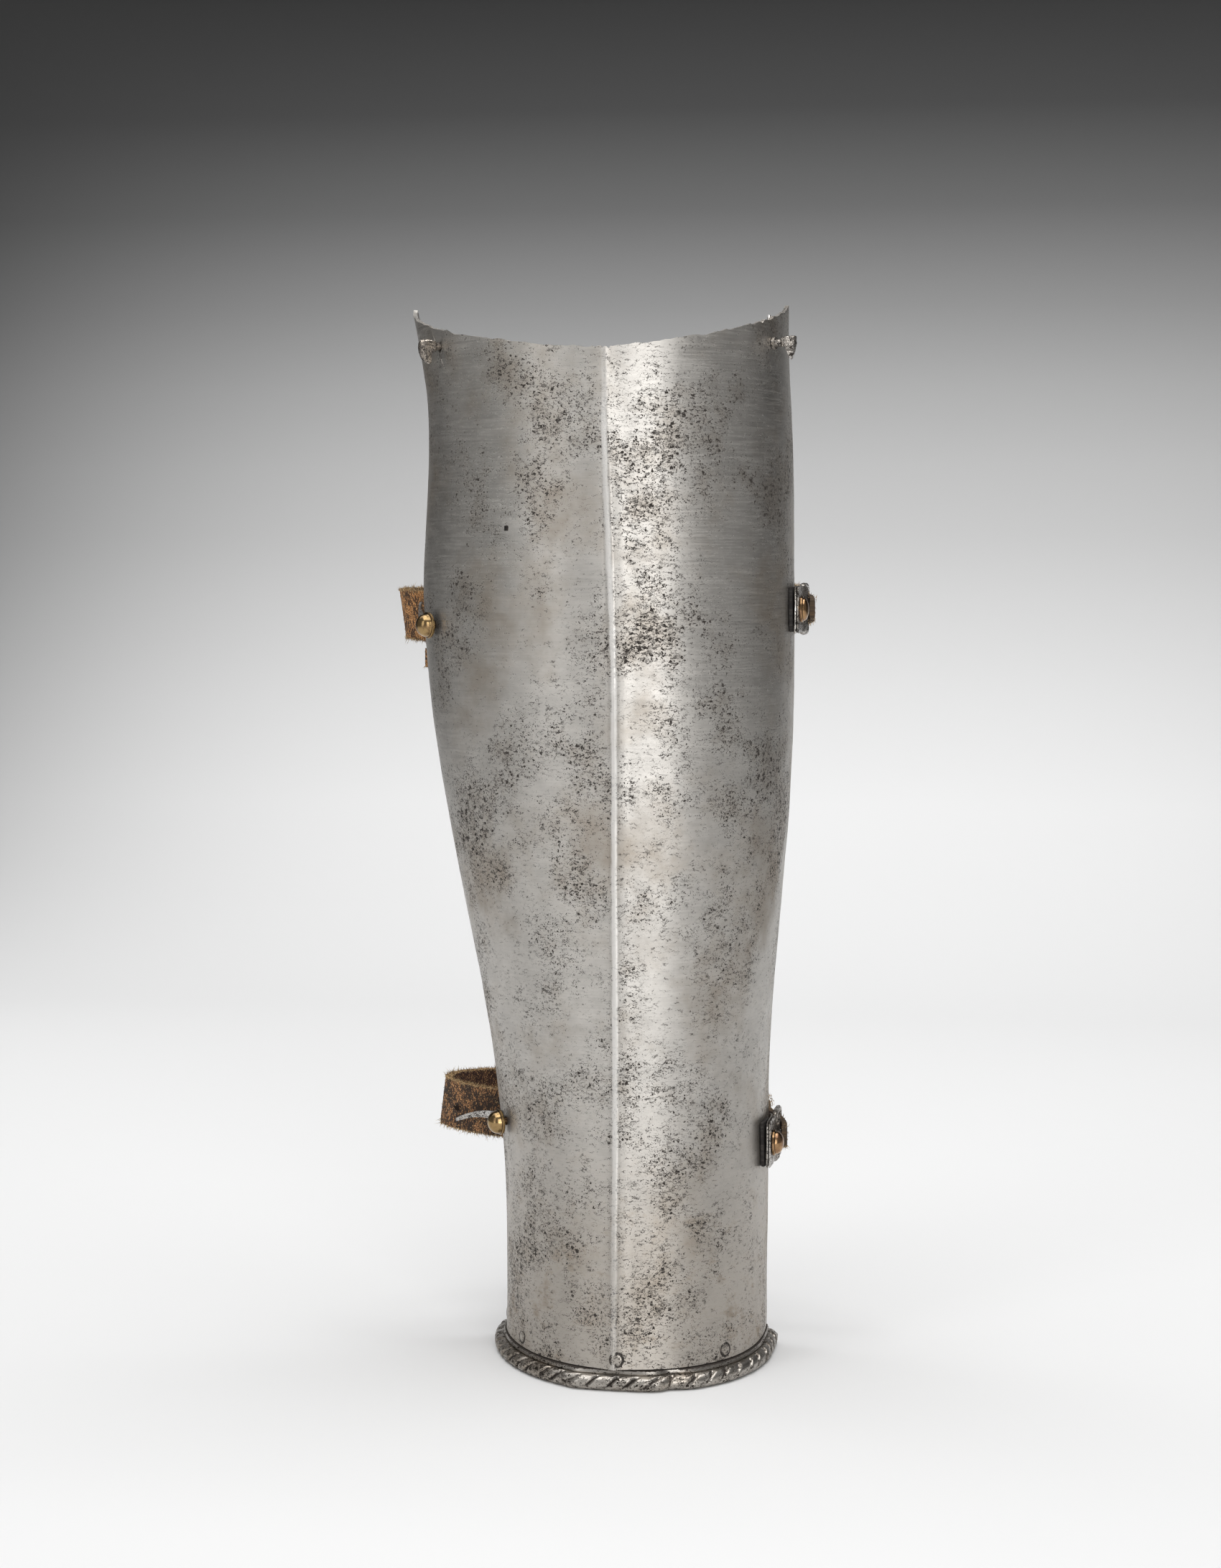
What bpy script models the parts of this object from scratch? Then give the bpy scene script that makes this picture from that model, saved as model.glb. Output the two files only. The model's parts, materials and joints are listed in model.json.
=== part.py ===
"""A greave: the steel front plate of a shin defence, with its roped border and its straps.

Metres, +Z up. The keel of the shin faces -Y and the leg stands behind it. The origin lies on
the flat underside of the roped border, below the keel.
"""

import math

import bmesh
import bpy
import numpy as np
from mathutils import Vector

# The plate.
HEIGHT = 0.366              # floor to the two upper corners
CALF_WIDTH = 0.132          # across the calf
CALF_DEPTH = 0.066          # keel to the widest line, at the calf
PLATE = 0.0014              # steel
LOWER_EDGE = 0.0070         # height of the plate's lower edge
TOP_DIP = 0.0185            # the top edge is this much lower at the keel than at the corners
TOP_CURVE_LEFT = 1.65       # exponent of its rise towards the corners
TOP_CURVE_RIGHT = 1.30
REAR_WRAP = 0.0055          # how far the plate runs past its widest line
WRAP_FADE = 0.10            # it dies out over this share of HEIGHT below the top
GAP = 0.0003                # between pieces that touch

# The raised keel.
KEEL_HALF = 0.0042
KEEL_RISE = 0.0014
KEEL_FADE = 0.045           # it dies out over this length below the top edge
KEEL_TOP_SHARE = 0.25       # what is left of it at the top edge

# The border at the instep.
FLANGE = 0.0012
FLANGE_RISE = 0.0078        # how far it stands up inside the plate
ROLL = 0.0026               # radius of the roll
ROLL_OUT = 0.0015           # its centre outside the plate's face
ROLL_FLAT = 0.00012         # what is filed off below, so that it stands flat
ROPE_PITCH = 0.0064
ROPE_DEPTH = 0.0008
ROPE_LEAN = 0.0052          # how far a groove runs along the roll from its foot to its top
ROPE_MIDDLE = 35            # degrees above level where a groove is neither ahead nor behind
FLANGE_END = 0.985          # where it ends, as a share of each side

# Rivets.
SHANK = 0.0014
DOME = 0.0045
DOME_SIDES = 12
DOME_STEP = 0.0011          # height of the rim under the dome
DOME_RISE_LEFT = 0.0047
DOME_RISE_UPPER_BUCKLE = 0.0029
DOME_RISE_LOWER_BUCKLE = 0.0038
BURR = 0.0026
BURR_THICK = 0.0009
FLUSH_HEAD = 0.0023
FLUSH_RISE = 0.00035
FLUSH_ABOVE_EDGE = 0.0033
SQUARE_HOLE = 0.0017
CUTTER_REACH = 0.012        # how far a hole's cutter runs each way

# Straps.
STRAP_WIDTH = 0.0165
STRAP_THICK = 0.0026
STRAP_SEAT = 0.0006         # from the hollow of the plate to a strap's flat face
STRAP_STEP = 0.0029         # length of one facet along a strap
EDGE_BEND = 0.0031          # radius of its middle where it turns out round the plate's edge
STRAP_END = 0.0085          # strap in front of its rivet
STRAP_BEHIND_LOW = 0.046    # how far behind the widest line the straps pass
STRAP_BEHIND_HIGH = 0.058
STRAP_ROOT_WIDTH_HIGH = 0.0225
STRAP_ROOT_RUN = 0.060      # from the strap's front end to where it has its plain width
ROOT_LIFT_HIGH = 0.0025     # a strap's middle above its rivet
ROOT_LIFT_LOW = -0.0040
STRAP_TAB_TALL = 0.0066
STRAP_TAB_OUT = 0.0038      # how far it stands out beyond the bend at the plate's edge
TAIL_THICK = 0.0017
TAB_THICK = 0.0011
TAB_FRONT = 0.0065
TAB_REAR = 0.0075

# Buckles, in their own plane: s runs back from the rivet, n outwards.
CHAPE_SHEET = 0.0006
CHAPE_WIDTH = 0.0162
CHAPE_FOLD_WIDTH = 0.0114   # narrower where it goes round the bar
CHAPE_FRONT = 0.0062
CHAPE_NARROW = 0.17         # narrow this far each way from the fold, as a share of its length
CHAPE_BLEND = 0.10          # and back to full width over this further share
BAR = 0.0011                # radius of the frame's bars
FRAME_TALL = 0.0186
FRAME_LONG = 0.0160
FRAME_CORNER = 0.0022
FRONT_BAR_BACK = 0.0122     # rivet to the bar that the chape holds
BUCKLE_TURN = math.radians(-3.2)
CHAPE_LIFT = 0.00015        # it stands off the tab, which follows the plate's curve
TONGUE_WIDTH = 0.0024
TONGUE_THICK = 0.0009
TONGUE_SLOT = 0.0034
TONGUE_BEND = 0.0040        # it bends this far behind the bar that it turns on

# Turning pins.
PIN_SHANK = 0.00135
PIN_BURR = 0.0024
PIN_HEAD = 0.0087           # from the plate to the end of the hooked head
PIN_COLLAR = 0.0022
PIN_COLLAR_THICK = 0.0010
KEEPER_THICK = 0.0009
KEEPER_WIDTH = 0.0040
KEEPER_LONG = 0.0106
KEEPER_LEAN = math.radians(24)

# Sections of the plate. height is a share of HEIGHT; side, left and right are shares of
# CALF_WIDTH, side being the keel's own sway to the right; forward and depth are shares of
# CALF_DEPTH; the two fullness values are the exponents of the rounded outline.
SECTIONS = [
    # height, side, forward, left, right, depth, full_left, full_right
    (0.000, 0.000, 0.060, 0.342, 0.358, 0.880, 1.85, 2.35),
    (0.060, 0.001, 0.025, 0.341, 0.358, 0.880, 1.85, 2.35),
    (0.155, 0.004, -0.010, 0.350, 0.356, 0.885, 1.85, 2.35),
    (0.270, 0.007, -0.030, 0.383, 0.352, 0.895, 1.90, 2.30),
    (0.377, 0.005, -0.020, 0.431, 0.372, 0.910, 1.95, 2.25),
    (0.478, 0.004, 0.000, 0.487, 0.398, 0.940, 2.00, 2.20),
    (0.600, 0.002, 0.020, 0.544, 0.418, 0.970, 2.00, 2.20),
    (0.727, 0.000, 0.030, 0.573, 0.420, 1.000, 2.00, 2.15),
    (0.817, -0.008, 0.020, 0.551, 0.426, 0.985, 2.00, 2.15),
    (0.890, -0.017, 0.000, 0.534, 0.430, 0.955, 2.00, 2.15),
    (0.943, -0.023, -0.020, 0.546, 0.427, 0.940, 2.00, 2.15),
    (1.000, -0.026, -0.040, 0.574, 0.429, 0.930, 2.00, 2.15),
]

# Places on the plate: along is a share of the way from the keel to the rear edge, negative
# to the left, and height is a share of HEIGHT.
PIN_LEFT = {"along": -0.63, "height": 0.957}
PIN_RIGHT = {"along": 0.71, "height": 0.9585}
STRAP_HIGH = {"along": -0.68, "height": 0.698}
STRAP_LOW = {"along": -0.66, "height": 0.225}
BUCKLE_HIGH = {"along": 0.850, "height": 0.7125}
BUCKLE_LOW = {"along": 0.785, "height": 0.2053}
HOLE = {"along": -0.33, "height": 0.787}
FLANGE_RIVETS = [-0.90, -0.51, 0.012, 0.455, 0.88]

# The straps' free way round the leg. across is a share of the plate's half width on that
# side, behind is a share of the strap's STRAP_BEHIND size, lift is a share of STRAP_WIDTH,
# and lean is how far the upper edge stands to the right, as a share of the height.
ROUTE_LOW = [
    # across, behind, lift, lean
    (-1.24, 0.21, 0.10, 0.10),
    (-1.42, 0.25, 0.20, 0.13),
    (-1.50, 0.38, 0.28, 0.13),
    (-1.40, 0.53, 0.33, 0.10),
    (-1.12, 0.69, 0.34, 0.06),
    (-0.62, 0.90, 0.29, 0.00),
    (0.00, 1.00, 0.20, 0.00),
    (0.52, 0.95, 0.10, 0.00),
    (0.88, 0.80, 0.03, 0.00),
]
ROUTE_HIGH = [
    # across, behind, lift, lean
    (-1.10, 0.18, 0.02, -0.10),
    (-1.135, 0.27, 0.03, -0.14),
    (-1.14, 0.37, 0.03, -0.14),
    (-1.08, 0.52, 0.03, -0.10),
    (-0.89, 0.72, 0.03, -0.04),
    (-0.46, 0.93, 0.02, 0.00),
    (0.00, 1.00, 0.01, 0.00),
    (0.50, 0.94, 0.00, 0.00),
    (0.88, 0.74, 0.00, 0.00),
]

# The free ends of the two steel tongues, in the same shares, and always upright.
TONGUE_ROUTE_LOW = [
    # across, behind, lift
    (-1.035, -0.03, -0.17),
    (-1.13, 0.035, -0.17),
    (-1.25, 0.09, -0.23),
    (-1.37, 0.125, -0.36),
]
TONGUE_ROUTE_HIGH = [
    # across, behind, lift
    (-1.018, -0.10, 0.22),
    (-1.028, 0.02, 0.38),
]

STEEL = ((0.36, 0.35, 0.33, 1.0), 0.34, 1.0)
DARK_IRON = ((0.13, 0.12, 0.11, 1.0), 0.55, 1.0)
BRASS = ((0.48, 0.33, 0.14, 1.0), 0.30, 1.0)
BROWN_LEATHER = ((0.16, 0.085, 0.045, 1.0), 0.85, 0.0)
BLACK_LEATHER = ((0.03, 0.026, 0.024, 1.0), 0.70, 0.0)


def clear_scene():
    """Remove what the start-up file holds."""
    for old in list(bpy.data.objects):
        bpy.data.objects.remove(old, do_unlink=True)


def finish(name, look):
    """One Principled material."""
    colour, rough, metal = look
    material = bpy.data.materials.new(name)
    material.use_nodes = True
    shader = material.node_tree.nodes["Principled BSDF"]
    shader.inputs["Base Color"].default_value = colour
    shader.inputs["Roughness"].default_value = rough
    shader.inputs["Metallic"].default_value = metal
    return material


def add_piece(name, bm, look, smooth=40.0):
    """Turn a bmesh into a named object with its own material."""
    bmesh.ops.recalc_face_normals(bm, faces=bm.faces)
    mesh = bpy.data.meshes.new(name)
    bm.to_mesh(mesh)
    bm.free()
    mesh.shade_smooth()
    mesh.set_sharp_from_angle(angle=math.radians(smooth))
    piece = bpy.data.objects.new(name, mesh)
    bpy.context.scene.collection.objects.link(piece)
    if look:
        mesh.materials.append(finish(name, look))
    return piece


def as_cutter(piece):
    """Mark an object as a cutting tool."""
    piece.hide_render = True
    piece.display_type = "WIRE"
    return piece


def boolean(piece, tool, operation="DIFFERENCE"):
    """Cut or join by an exact Boolean."""
    modifier = piece.modifiers.new(operation.lower(), "BOOLEAN")
    modifier.operation = operation
    modifier.solver = "EXACT"
    modifier.object = tool


def section_value(share, column):
    """One column of SECTIONS, read from a smooth curve through its rows."""
    rows = SECTIONS
    last = len(rows) - 1
    index = 0
    while index < last - 1 and share > rows[index + 1][0]:
        index += 1
    low, high = rows[index], rows[index + 1]
    span = high[0] - low[0]
    t = (share - low[0]) / span

    def slope(k):
        before, after = rows[max(k - 1, 0)], rows[min(k + 1, last)]
        return (after[column] - before[column]) / (after[0] - before[0])

    start, end = slope(index) * span, slope(index + 1) * span
    a = 2 * low[column] - 2 * high[column] + start + end
    b = 3 * (high[column] - low[column]) - 2 * start - end
    return ((a * t + b) * t + start) * t + low[column]


def section(z):
    """The plate's outline values at one height, in metres."""
    share = min(max(z / HEIGHT, 0.0), 1.0)
    side, forward, left, right, depth, full_left, full_right = (
        section_value(share, column) for column in range(1, 8)
    )
    return {
        "keel_x": side * CALF_WIDTH,
        "keel_y": ROLL_OUT + (section_value(LOWER_EDGE / HEIGHT, 2) - forward) * CALF_DEPTH,
        "left": left * CALF_WIDTH,
        "right": right * CALF_WIDTH,
        "depth": depth * CALF_DEPTH,
        "full_left": full_left,
        "full_right": full_right,
        "wrap": REAR_WRAP * min(1.0, (1.0 - share) / WRAP_FADE),
    }


ARC_STEPS = 60
arc_cache = {}


def half_outline(z, right):
    """Points from the keel to the rear edge on one side, with their running length."""
    key = (round(z, 6), right)
    if key in arc_cache:
        return arc_cache[key]
    values = section(z)
    reach = values["right"] if right else values["left"]
    power = 2.0 / (values["full_right"] if right else values["full_left"])
    depth = values["depth"]
    end = math.pi / 2 + math.asin((values["wrap"] / depth) ** (1.0 / power))
    points = []
    for step in range(ARC_STEPS + 1):
        angle = end * step / ARC_STEPS
        along, ahead = math.sin(angle), math.cos(angle)
        x = reach * along ** power
        y = depth * (1.0 - math.copysign(abs(ahead) ** power, ahead))
        points.append(Vector((values["keel_x"] + (x if right else -x), values["keel_y"] + y)))
    lengths = [0.0]
    for first, second in zip(points, points[1:]):
        lengths.append(lengths[-1] + (second - first).length)
    arc_cache[key] = (points, lengths)
    return arc_cache[key]


def base_point(along, z):
    """The plate's outer face without the keel. along runs from -1 to 1, and a little past."""
    points, lengths = half_outline(z, along >= 0)
    target = abs(along) * lengths[-1]
    index = 0
    while index < len(lengths) - 2 and lengths[index + 1] < target:
        index += 1
    t = (target - lengths[index]) / (lengths[index + 1] - lengths[index])
    flat = points[index].lerp(points[index + 1], t)
    return Vector((flat.x, flat.y, z))


def outward(along, z):
    """The outward direction of the plate's face."""
    step = 0.01
    sideways = base_point(along + step, z) - base_point(along - step, z)
    lift = 0.002
    upward = base_point(along, z + lift) - base_point(along, z - lift)
    return sideways.cross(upward).normalized()


def flat_outward(along, z):
    """The same, kept level."""
    direction = outward(along, z)
    direction.z = 0.0
    return direction.normalized()


def half_length(along, z):
    """Length of the outline on this side of the keel."""
    return half_outline(z, along >= 0)[1][-1]


def top_edge(along):
    """Height of the top edge."""
    curve = TOP_CURVE_LEFT if along < 0 else TOP_CURVE_RIGHT
    return HEIGHT - TOP_DIP * (1.0 - min(abs(along), 1.0) ** curve)


def keel_lift(along, z):
    """How far the keel stands out of the round of the plate."""
    away = abs(along) * half_length(along, z)
    if away >= KEEL_HALF:
        return 0.0
    below_top = min(max((top_edge(0.0) - z) / KEEL_FADE, 0.0), 1.0)
    fade = KEEL_TOP_SHARE + (1.0 - KEEL_TOP_SHARE) * below_top
    return KEEL_RISE * fade * (1.0 - away / KEEL_HALF)


def slope_up(along, z):
    """The upward direction along the plate's face."""
    lift = 0.004
    return (base_point(along, z + lift) - base_point(along, z - lift)).normalized()


def plate_point(along, z, inward=0.0):
    """A point of the plate, inward metres under its outer face."""
    return base_point(along, z) + outward(along, z) * (keel_lift(along, z) - inward)


def place_on_plate(spot, inward=0.0):
    """A point and the outward direction at one of the named places."""
    z = spot["height"] * HEIGHT
    return plate_point(spot["along"], z, inward), outward(spot["along"], z)


def skin(bm, rings, loop=False):
    """Join rings of points into a tube, closed on itself or capped at its two ends."""
    made = [[bm.verts.new(point) for point in ring] for ring in rings]
    count = len(rings[0])
    pairs = list(zip(made, made[1:]))
    if loop:
        pairs.append((made[-1], made[0]))
    else:
        bm.faces.new(made[0][::-1])
        bm.faces.new(made[-1])
    for first, second in pairs:
        for index in range(count):
            following = (index + 1) % count
            bm.faces.new((first[index], first[following], second[following], second[index]))


UPRIGHT = Vector((0.0, 0.0, 1.0))


def smooth_route(points, ups, step):
    """Even points on a smooth curve through the given ones, each with its upward direction."""
    rows = [np.array([*point, *up]) for point, up in zip(points, ups)]
    ends = [rows[0] * 2 - rows[1]] + rows + [rows[-1] * 2 - rows[-2]]
    dense = []
    for index in range(1, len(ends) - 2):
        p0, p1, p2, p3 = ends[index - 1:index + 3]
        for part in range(16):
            t = part / 16
            dense.append(0.5 * (2 * p1 + (p2 - p0) * t + (2 * p0 - 5 * p1 + 4 * p2 - p3) * t ** 2
                                + (3 * p1 - p0 - 3 * p2 + p3) * t ** 3))
    dense.append(rows[-1])
    dense = np.array(dense)
    lengths = np.linalg.norm(np.diff(dense[:, :3], axis=0), axis=1)
    gone = np.concatenate(([0.0], np.cumsum(lengths)))
    count = max(2, round(gone[-1] / step))
    wanted = np.linspace(0.0, gone[-1], count + 1)
    even = np.array([np.interp(wanted, gone, dense[:, column]) for column in range(6)]).T
    return [(Vector(row[:3]), Vector(row[3:]).normalized()) for row in even]


def route_length(route):
    """Length of a route that smooth_route made."""
    return sum((b[0] - a[0]).length for a, b in zip(route, route[1:]))


def ribbon(route, width_at, thick_at):
    """A flat strip on edge along a route of points and upward directions."""
    bm = bmesh.new()
    rings = []
    last = len(route) - 1
    for index, (point, up) in enumerate(route):
        ahead = route[min(index + 1, last)][0] - route[max(index - 1, 0)][0]
        side = ahead.cross(up).normalized()
        rise = side.cross(ahead).normalized()
        share = index / last
        half_w, half_t = width_at(share) / 2, thick_at(share) / 2
        corners = [(half_t, half_w), (-half_t, half_w), (-half_t, -half_w), (half_t, -half_w)]
        rings.append([point + side * out + rise * high for out, high in corners])
    skin(bm, rings)
    return bm


def turned(profile, sides, origin, axis):
    """A solid of revolution about axis. profile holds (radius, height) from foot to top."""
    bm = bmesh.new()
    frame = axis.to_track_quat("Z", "Y").to_matrix()
    rings = []
    for radius, height in profile:
        ring = []
        for index in range(sides):
            angle = 2 * math.pi * index / sides
            spoke = Vector((radius * math.cos(angle), radius * math.sin(angle), height))
            ring.append(origin + frame @ spoke)
        rings.append(ring)
    skin(bm, rings)
    return bm


def add_rod(bm, origin, axis, radius, low, high, sides):
    """A plain cylinder inside a bmesh, for cutters."""
    frame = axis.to_track_quat("Z", "Y").to_matrix()
    rings = []
    for height in (low, high):
        ring = []
        for index in range(sides):
            angle = math.pi / sides + 2 * math.pi * index / sides
            spoke = Vector((radius * math.cos(angle), radius * math.sin(angle), height))
            ring.append(origin + frame @ spoke)
        rings.append(ring)
    skin(bm, rings)


def stack_axes(spot):
    """The rivet's point on the plate and the level directions back and out of a buckle."""
    z = spot["height"] * HEIGHT
    origin = plate_point(spot["along"], z)
    out = Vector((math.cos(BUCKLE_TURN), math.sin(BUCKLE_TURN), 0.0))
    back = Vector((-math.sin(BUCKLE_TURN), math.cos(BUCKLE_TURN), 0.0))
    return origin, back, out


# Heights of the layers of a buckle above the plate's face.
TAB_TOP = GAP + TAB_THICK
LEAF_LOW = TAB_TOP + GAP + CHAPE_LIFT
LEAF_HIGH = LEAF_LOW + CHAPE_SHEET + GAP
DOME_SEAT = LEAF_HIGH + CHAPE_SHEET + GAP
BAR_OUT = (LEAF_LOW + LEAF_HIGH + CHAPE_SHEET) / 2


def make_shank_holes():
    """One cutter for every shank and for the small square hole."""
    bm = bmesh.new()
    reach = CUTTER_REACH
    for along in FLANGE_RIVETS:
        z = LOWER_EDGE + FLUSH_ABOVE_EDGE
        add_rod(bm, base_point(along, z), outward(along, z), SHANK + GAP, -reach, reach, 12)
    for spot in (STRAP_HIGH, STRAP_LOW):
        origin, axis = place_on_plate(spot)
        add_rod(bm, origin, axis, SHANK + GAP, -reach, reach, 12)
    for spot in (BUCKLE_HIGH, BUCKLE_LOW):
        origin, _, out = stack_axes(spot)
        add_rod(bm, origin, out, SHANK + GAP, -reach, reach, 12)
    for spot in (PIN_LEFT, PIN_RIGHT):
        origin, axis = place_on_plate(spot)
        add_rod(bm, origin, axis, PIN_SHANK + GAP, -reach, reach, 12)
    origin, axis = place_on_plate(HOLE)
    add_rod(bm, origin, axis, SQUARE_HOLE / math.sqrt(2), -reach, reach, 4)
    return as_cutter(add_piece("cutter_shank_holes", bm, None))


def plate_columns():
    """Places round the plate: close together at the keel, even elsewhere."""
    keel = KEEL_HALF / half_length(1.0, HEIGHT / 2)
    count = 12
    even = [keel + (1.0 - keel) * step / count for step in range(1, count + 1)]
    side = [keel * 0.5, keel] + even
    return [-value for value in reversed(side)] + [0.0] + side


def make_plate(holes):
    """The shin plate, a bent sheet with a raised keel."""
    columns = plate_columns()
    rows = 23
    bm = bmesh.new()
    sheets = []
    for inward in (0.0, PLATE):
        grid = []
        for row in range(rows + 1):
            line = []
            for along in columns:
                z = LOWER_EDGE + (top_edge(along) - LOWER_EDGE) * row / rows
                level = plate_point(along, z, inward)
                line.append(bm.verts.new((level.x, level.y, z)))
            grid.append(line)
        sheets.append(grid)
    outer, inner = sheets
    width = len(columns)
    for row in range(rows):
        for col in range(width - 1):
            bm.faces.new((outer[row][col], outer[row][col + 1],
                          outer[row + 1][col + 1], outer[row + 1][col]))
            bm.faces.new((inner[row][col], inner[row + 1][col],
                          inner[row + 1][col + 1], inner[row][col + 1]))
    for row in (0, rows):
        for col in range(width - 1):
            bm.faces.new((outer[row][col], inner[row][col],
                          inner[row][col + 1], outer[row][col + 1]))
    for col in (0, width - 1):
        for row in range(rows):
            bm.faces.new((outer[row][col], outer[row + 1][col],
                          inner[row + 1][col], inner[row][col]))
    plate = add_piece("greave_plate", bm, STEEL, 30.0)
    boolean(plate, holes)
    return plate


def flange_profile():
    """The border's section: (out, height, roll angle or None) round one closed line."""
    inside = -(PLATE + GAP + FLANGE)
    wall = -(PLATE + GAP)
    top = LOWER_EDGE + FLANGE_RISE
    under = LOWER_EDGE - GAP
    middle = ROLL - ROLL_FLAT
    line = [(inside, top, None), (wall, top, None), (wall, under, None),
            (wall + FLANGE * 1.6, under - FLANGE * 0.1, None)]
    for angle in (118, 76, 34, -8, -50):
        turn = math.radians(angle)
        out = ROLL_OUT + ROLL * math.cos(turn)
        up = middle + ROLL * math.sin(turn)
        line.append((out, max(up, 0.0), angle))
    line.append((ROLL_OUT + ROLL * 0.30, 0.0, None))
    line.append((ROLL_OUT - ROLL * 0.45, 0.0, None))
    line.append((inside + FLANGE, ROLL * 0.55, None))
    line.append((inside, ROLL * 1.35, None))
    return line


def make_flange(holes):
    """The turned-out border, its roll cut by slanting grooves like a rope."""
    level = LOWER_EDGE
    left, right = half_length(-1.0, level), half_length(1.0, level)
    run = (left + right) * FLANGE_END
    grooves = round(run / ROPE_PITCH)
    profile = flange_profile()
    bm = bmesh.new()
    rings = []
    for index in range(grooves * 3 + 1):
        part = index % 3
        ring = []
        for out, up, angle in profile:
            travel = run * index / (grooves * 3)
            if angle is not None:
                ease = min(1.0, 6.0 * index / (grooves * 3), 6.0 * (1 - index / (grooves * 3)))
                travel += ROPE_LEAN * (angle - ROPE_MIDDLE) / 180 * ease
                if part == 0 and 0 < index < grooves * 3 and angle > -30:
                    turn = math.radians(angle)
                    out -= ROPE_DEPTH * math.cos(turn)
                    up -= ROPE_DEPTH * math.sin(turn)
            place = travel - left * FLANGE_END
            along = place / (left if place < 0 else right)
            z = max(up, level)
            point = base_point(along, z) + flat_outward(along, level) * out
            ring.append(Vector((point.x, point.y, up)))
        rings.append(ring)
    skin(bm, rings)
    flange = add_piece("ankle_flange", bm, STEEL, 35.0)
    boolean(flange, holes)
    return flange


def dome_profile(seat, rise, tail):
    """Burr, shank and stepped dome of a brass rivet, from the inside out."""
    line = [(BURR * 0.8, tail - BURR_THICK), (BURR, tail),
            (SHANK, tail), (SHANK, seat), (DOME, seat), (DOME, seat + DOME_STEP * 0.7),
            (DOME * 0.91, seat + DOME_STEP)]
    bulge = rise - DOME_STEP
    for angle in (22, 48, 74):
        turn = math.radians(angle)
        radius = DOME * 0.90 * math.cos(turn)
        line.append((radius, seat + DOME_STEP + bulge * math.sin(turn)))
    return line


def make_flange_rivets():
    """Flush steel rivets through the plate and the border."""
    z = LOWER_EDGE + FLUSH_ABOVE_EDGE
    inside = -(PLATE + GAP + FLANGE + GAP)
    for number, along in enumerate(FLANGE_RIVETS, start=1):
        reach = FLUSH_HEAD / half_length(along, z)
        seat = GAP + max(keel_lift(along + reach * k / 4, z) for k in range(-4, 5))
        profile = [(BURR * 0.8, inside - BURR_THICK), (BURR, inside), (SHANK, inside),
                   (SHANK, seat), (FLUSH_HEAD, seat), (FLUSH_HEAD * 0.86, seat + FLUSH_RISE)]
        bm = turned(profile, 10, base_point(along, z), outward(along, z))
        add_piece(f"flange_rivet_{number}", bm, STEEL)


# How a strap narrows towards its tip: the distance from the tip as a share of FRAME_LONG,
# and the width as a share of STRAP_WIDTH.
TIP_TAPER = [
    # back, width
    (0.00, 0.30),
    (0.42, 0.54),
    (1.00, 0.78),
    (1.25, 0.84),
    (1.90, 1.00),
]


def strap_widths(root_width, length):
    """Width along a strap: its root, its run, and the narrowing end in the buckle."""
    def width_at(share):
        from_root, from_tip = share * length, (1.0 - share) * length
        if from_root < STRAP_ROOT_RUN:
            return root_width + (STRAP_WIDTH - root_width) * from_root / STRAP_ROOT_RUN
        for (low, first), (high, second) in zip(TIP_TAPER, TIP_TAPER[1:]):
            if from_tip <= high * FRAME_LONG:
                part = (from_tip / FRAME_LONG - low) / (high - low)
                return STRAP_WIDTH * (first + (second - first) * part)
        return STRAP_WIDTH

    return width_at


def strap_thickness(length):
    """Full thickness, skived thin towards the tip."""
    def thick_at(share):
        from_tip = (1.0 - share) * length / FRAME_LONG
        part = min(max(from_tip / 1.3, 0.0), 1.0)
        return TAIL_THICK + (STRAP_THICK - TAIL_THICK) * part

    return thick_at


# The strap's way through the buckle. back is a share of FRAME_LONG counted from the bar
# that the chape holds, out is a share of STRAP_THICK counted from that bar's centre.
BUCKLE_ROUTE = [
    # back, out
    (1.35, -1.50),
    (0.88, -1.30),
    (0.50, 0.08),
    (0.14, 1.22),
    (-0.12, 1.46),
    (-0.30, 1.46),
]


def round_the_edge(z, sunk):
    """Three points of a strap's middle where it turns out round the left rear edge."""
    edge = base_point(-1.0, z) - outward(-1.0, z) * (sunk - EDGE_BEND)
    points = []
    for degree in (25, 62, 98):
        turn = math.radians(degree)
        points.append(edge + EDGE_BEND * Vector((math.cos(turn), math.sin(turn), 0.0)))
    return points


def strap_route(spot, table, behind, buckle, root_lift):
    """The strap's centre line, from inside the plate on the left to the buckle."""
    z = spot["height"] * HEIGHT + root_lift
    sunk = PLATE + STRAP_SEAT + STRAP_THICK / 2
    length = half_length(spot["along"], z)
    start = spot["along"] + STRAP_END / length
    points = []
    ups = []
    inside_points = 5
    for index in range(inside_points):
        along = start + (-0.96 - start) * index / (inside_points - 1)
        points.append(base_point(along, z) - outward(along, z) * sunk)
        ups.append(slope_up(along, z))
    points += round_the_edge(z, sunk)
    ups += [slope_up(-1.0, z)] * 3
    values = section(z)
    widest = values["keel_y"] + values["depth"]
    origin, back, out = stack_axes(buckle)
    for across, rear, lift, lean in table:
        reach = values["left"] if across < 0 else values["right"]
        points.append(Vector((values["keel_x"] + across * reach, widest + rear * behind,
                              z + lift * STRAP_WIDTH)))
        ups.append(Vector((lean, 0.0, 1.0)).normalized())
    for rear, away in BUCKLE_ROUTE:
        point = origin + back * (FRONT_BAR_BACK + rear * FRAME_LONG)
        points.append(point + out * (BAR_OUT + away * STRAP_THICK))
        ups.append(UPRIGHT)
    rise = points[-1].z - z
    for index in range(len(table)):
        points[index - len(table) - len(BUCKLE_ROUTE)].z += rise * (index + 1) / (len(table) + 1)
    return smooth_route(points, ups, STRAP_STEP)


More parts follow.
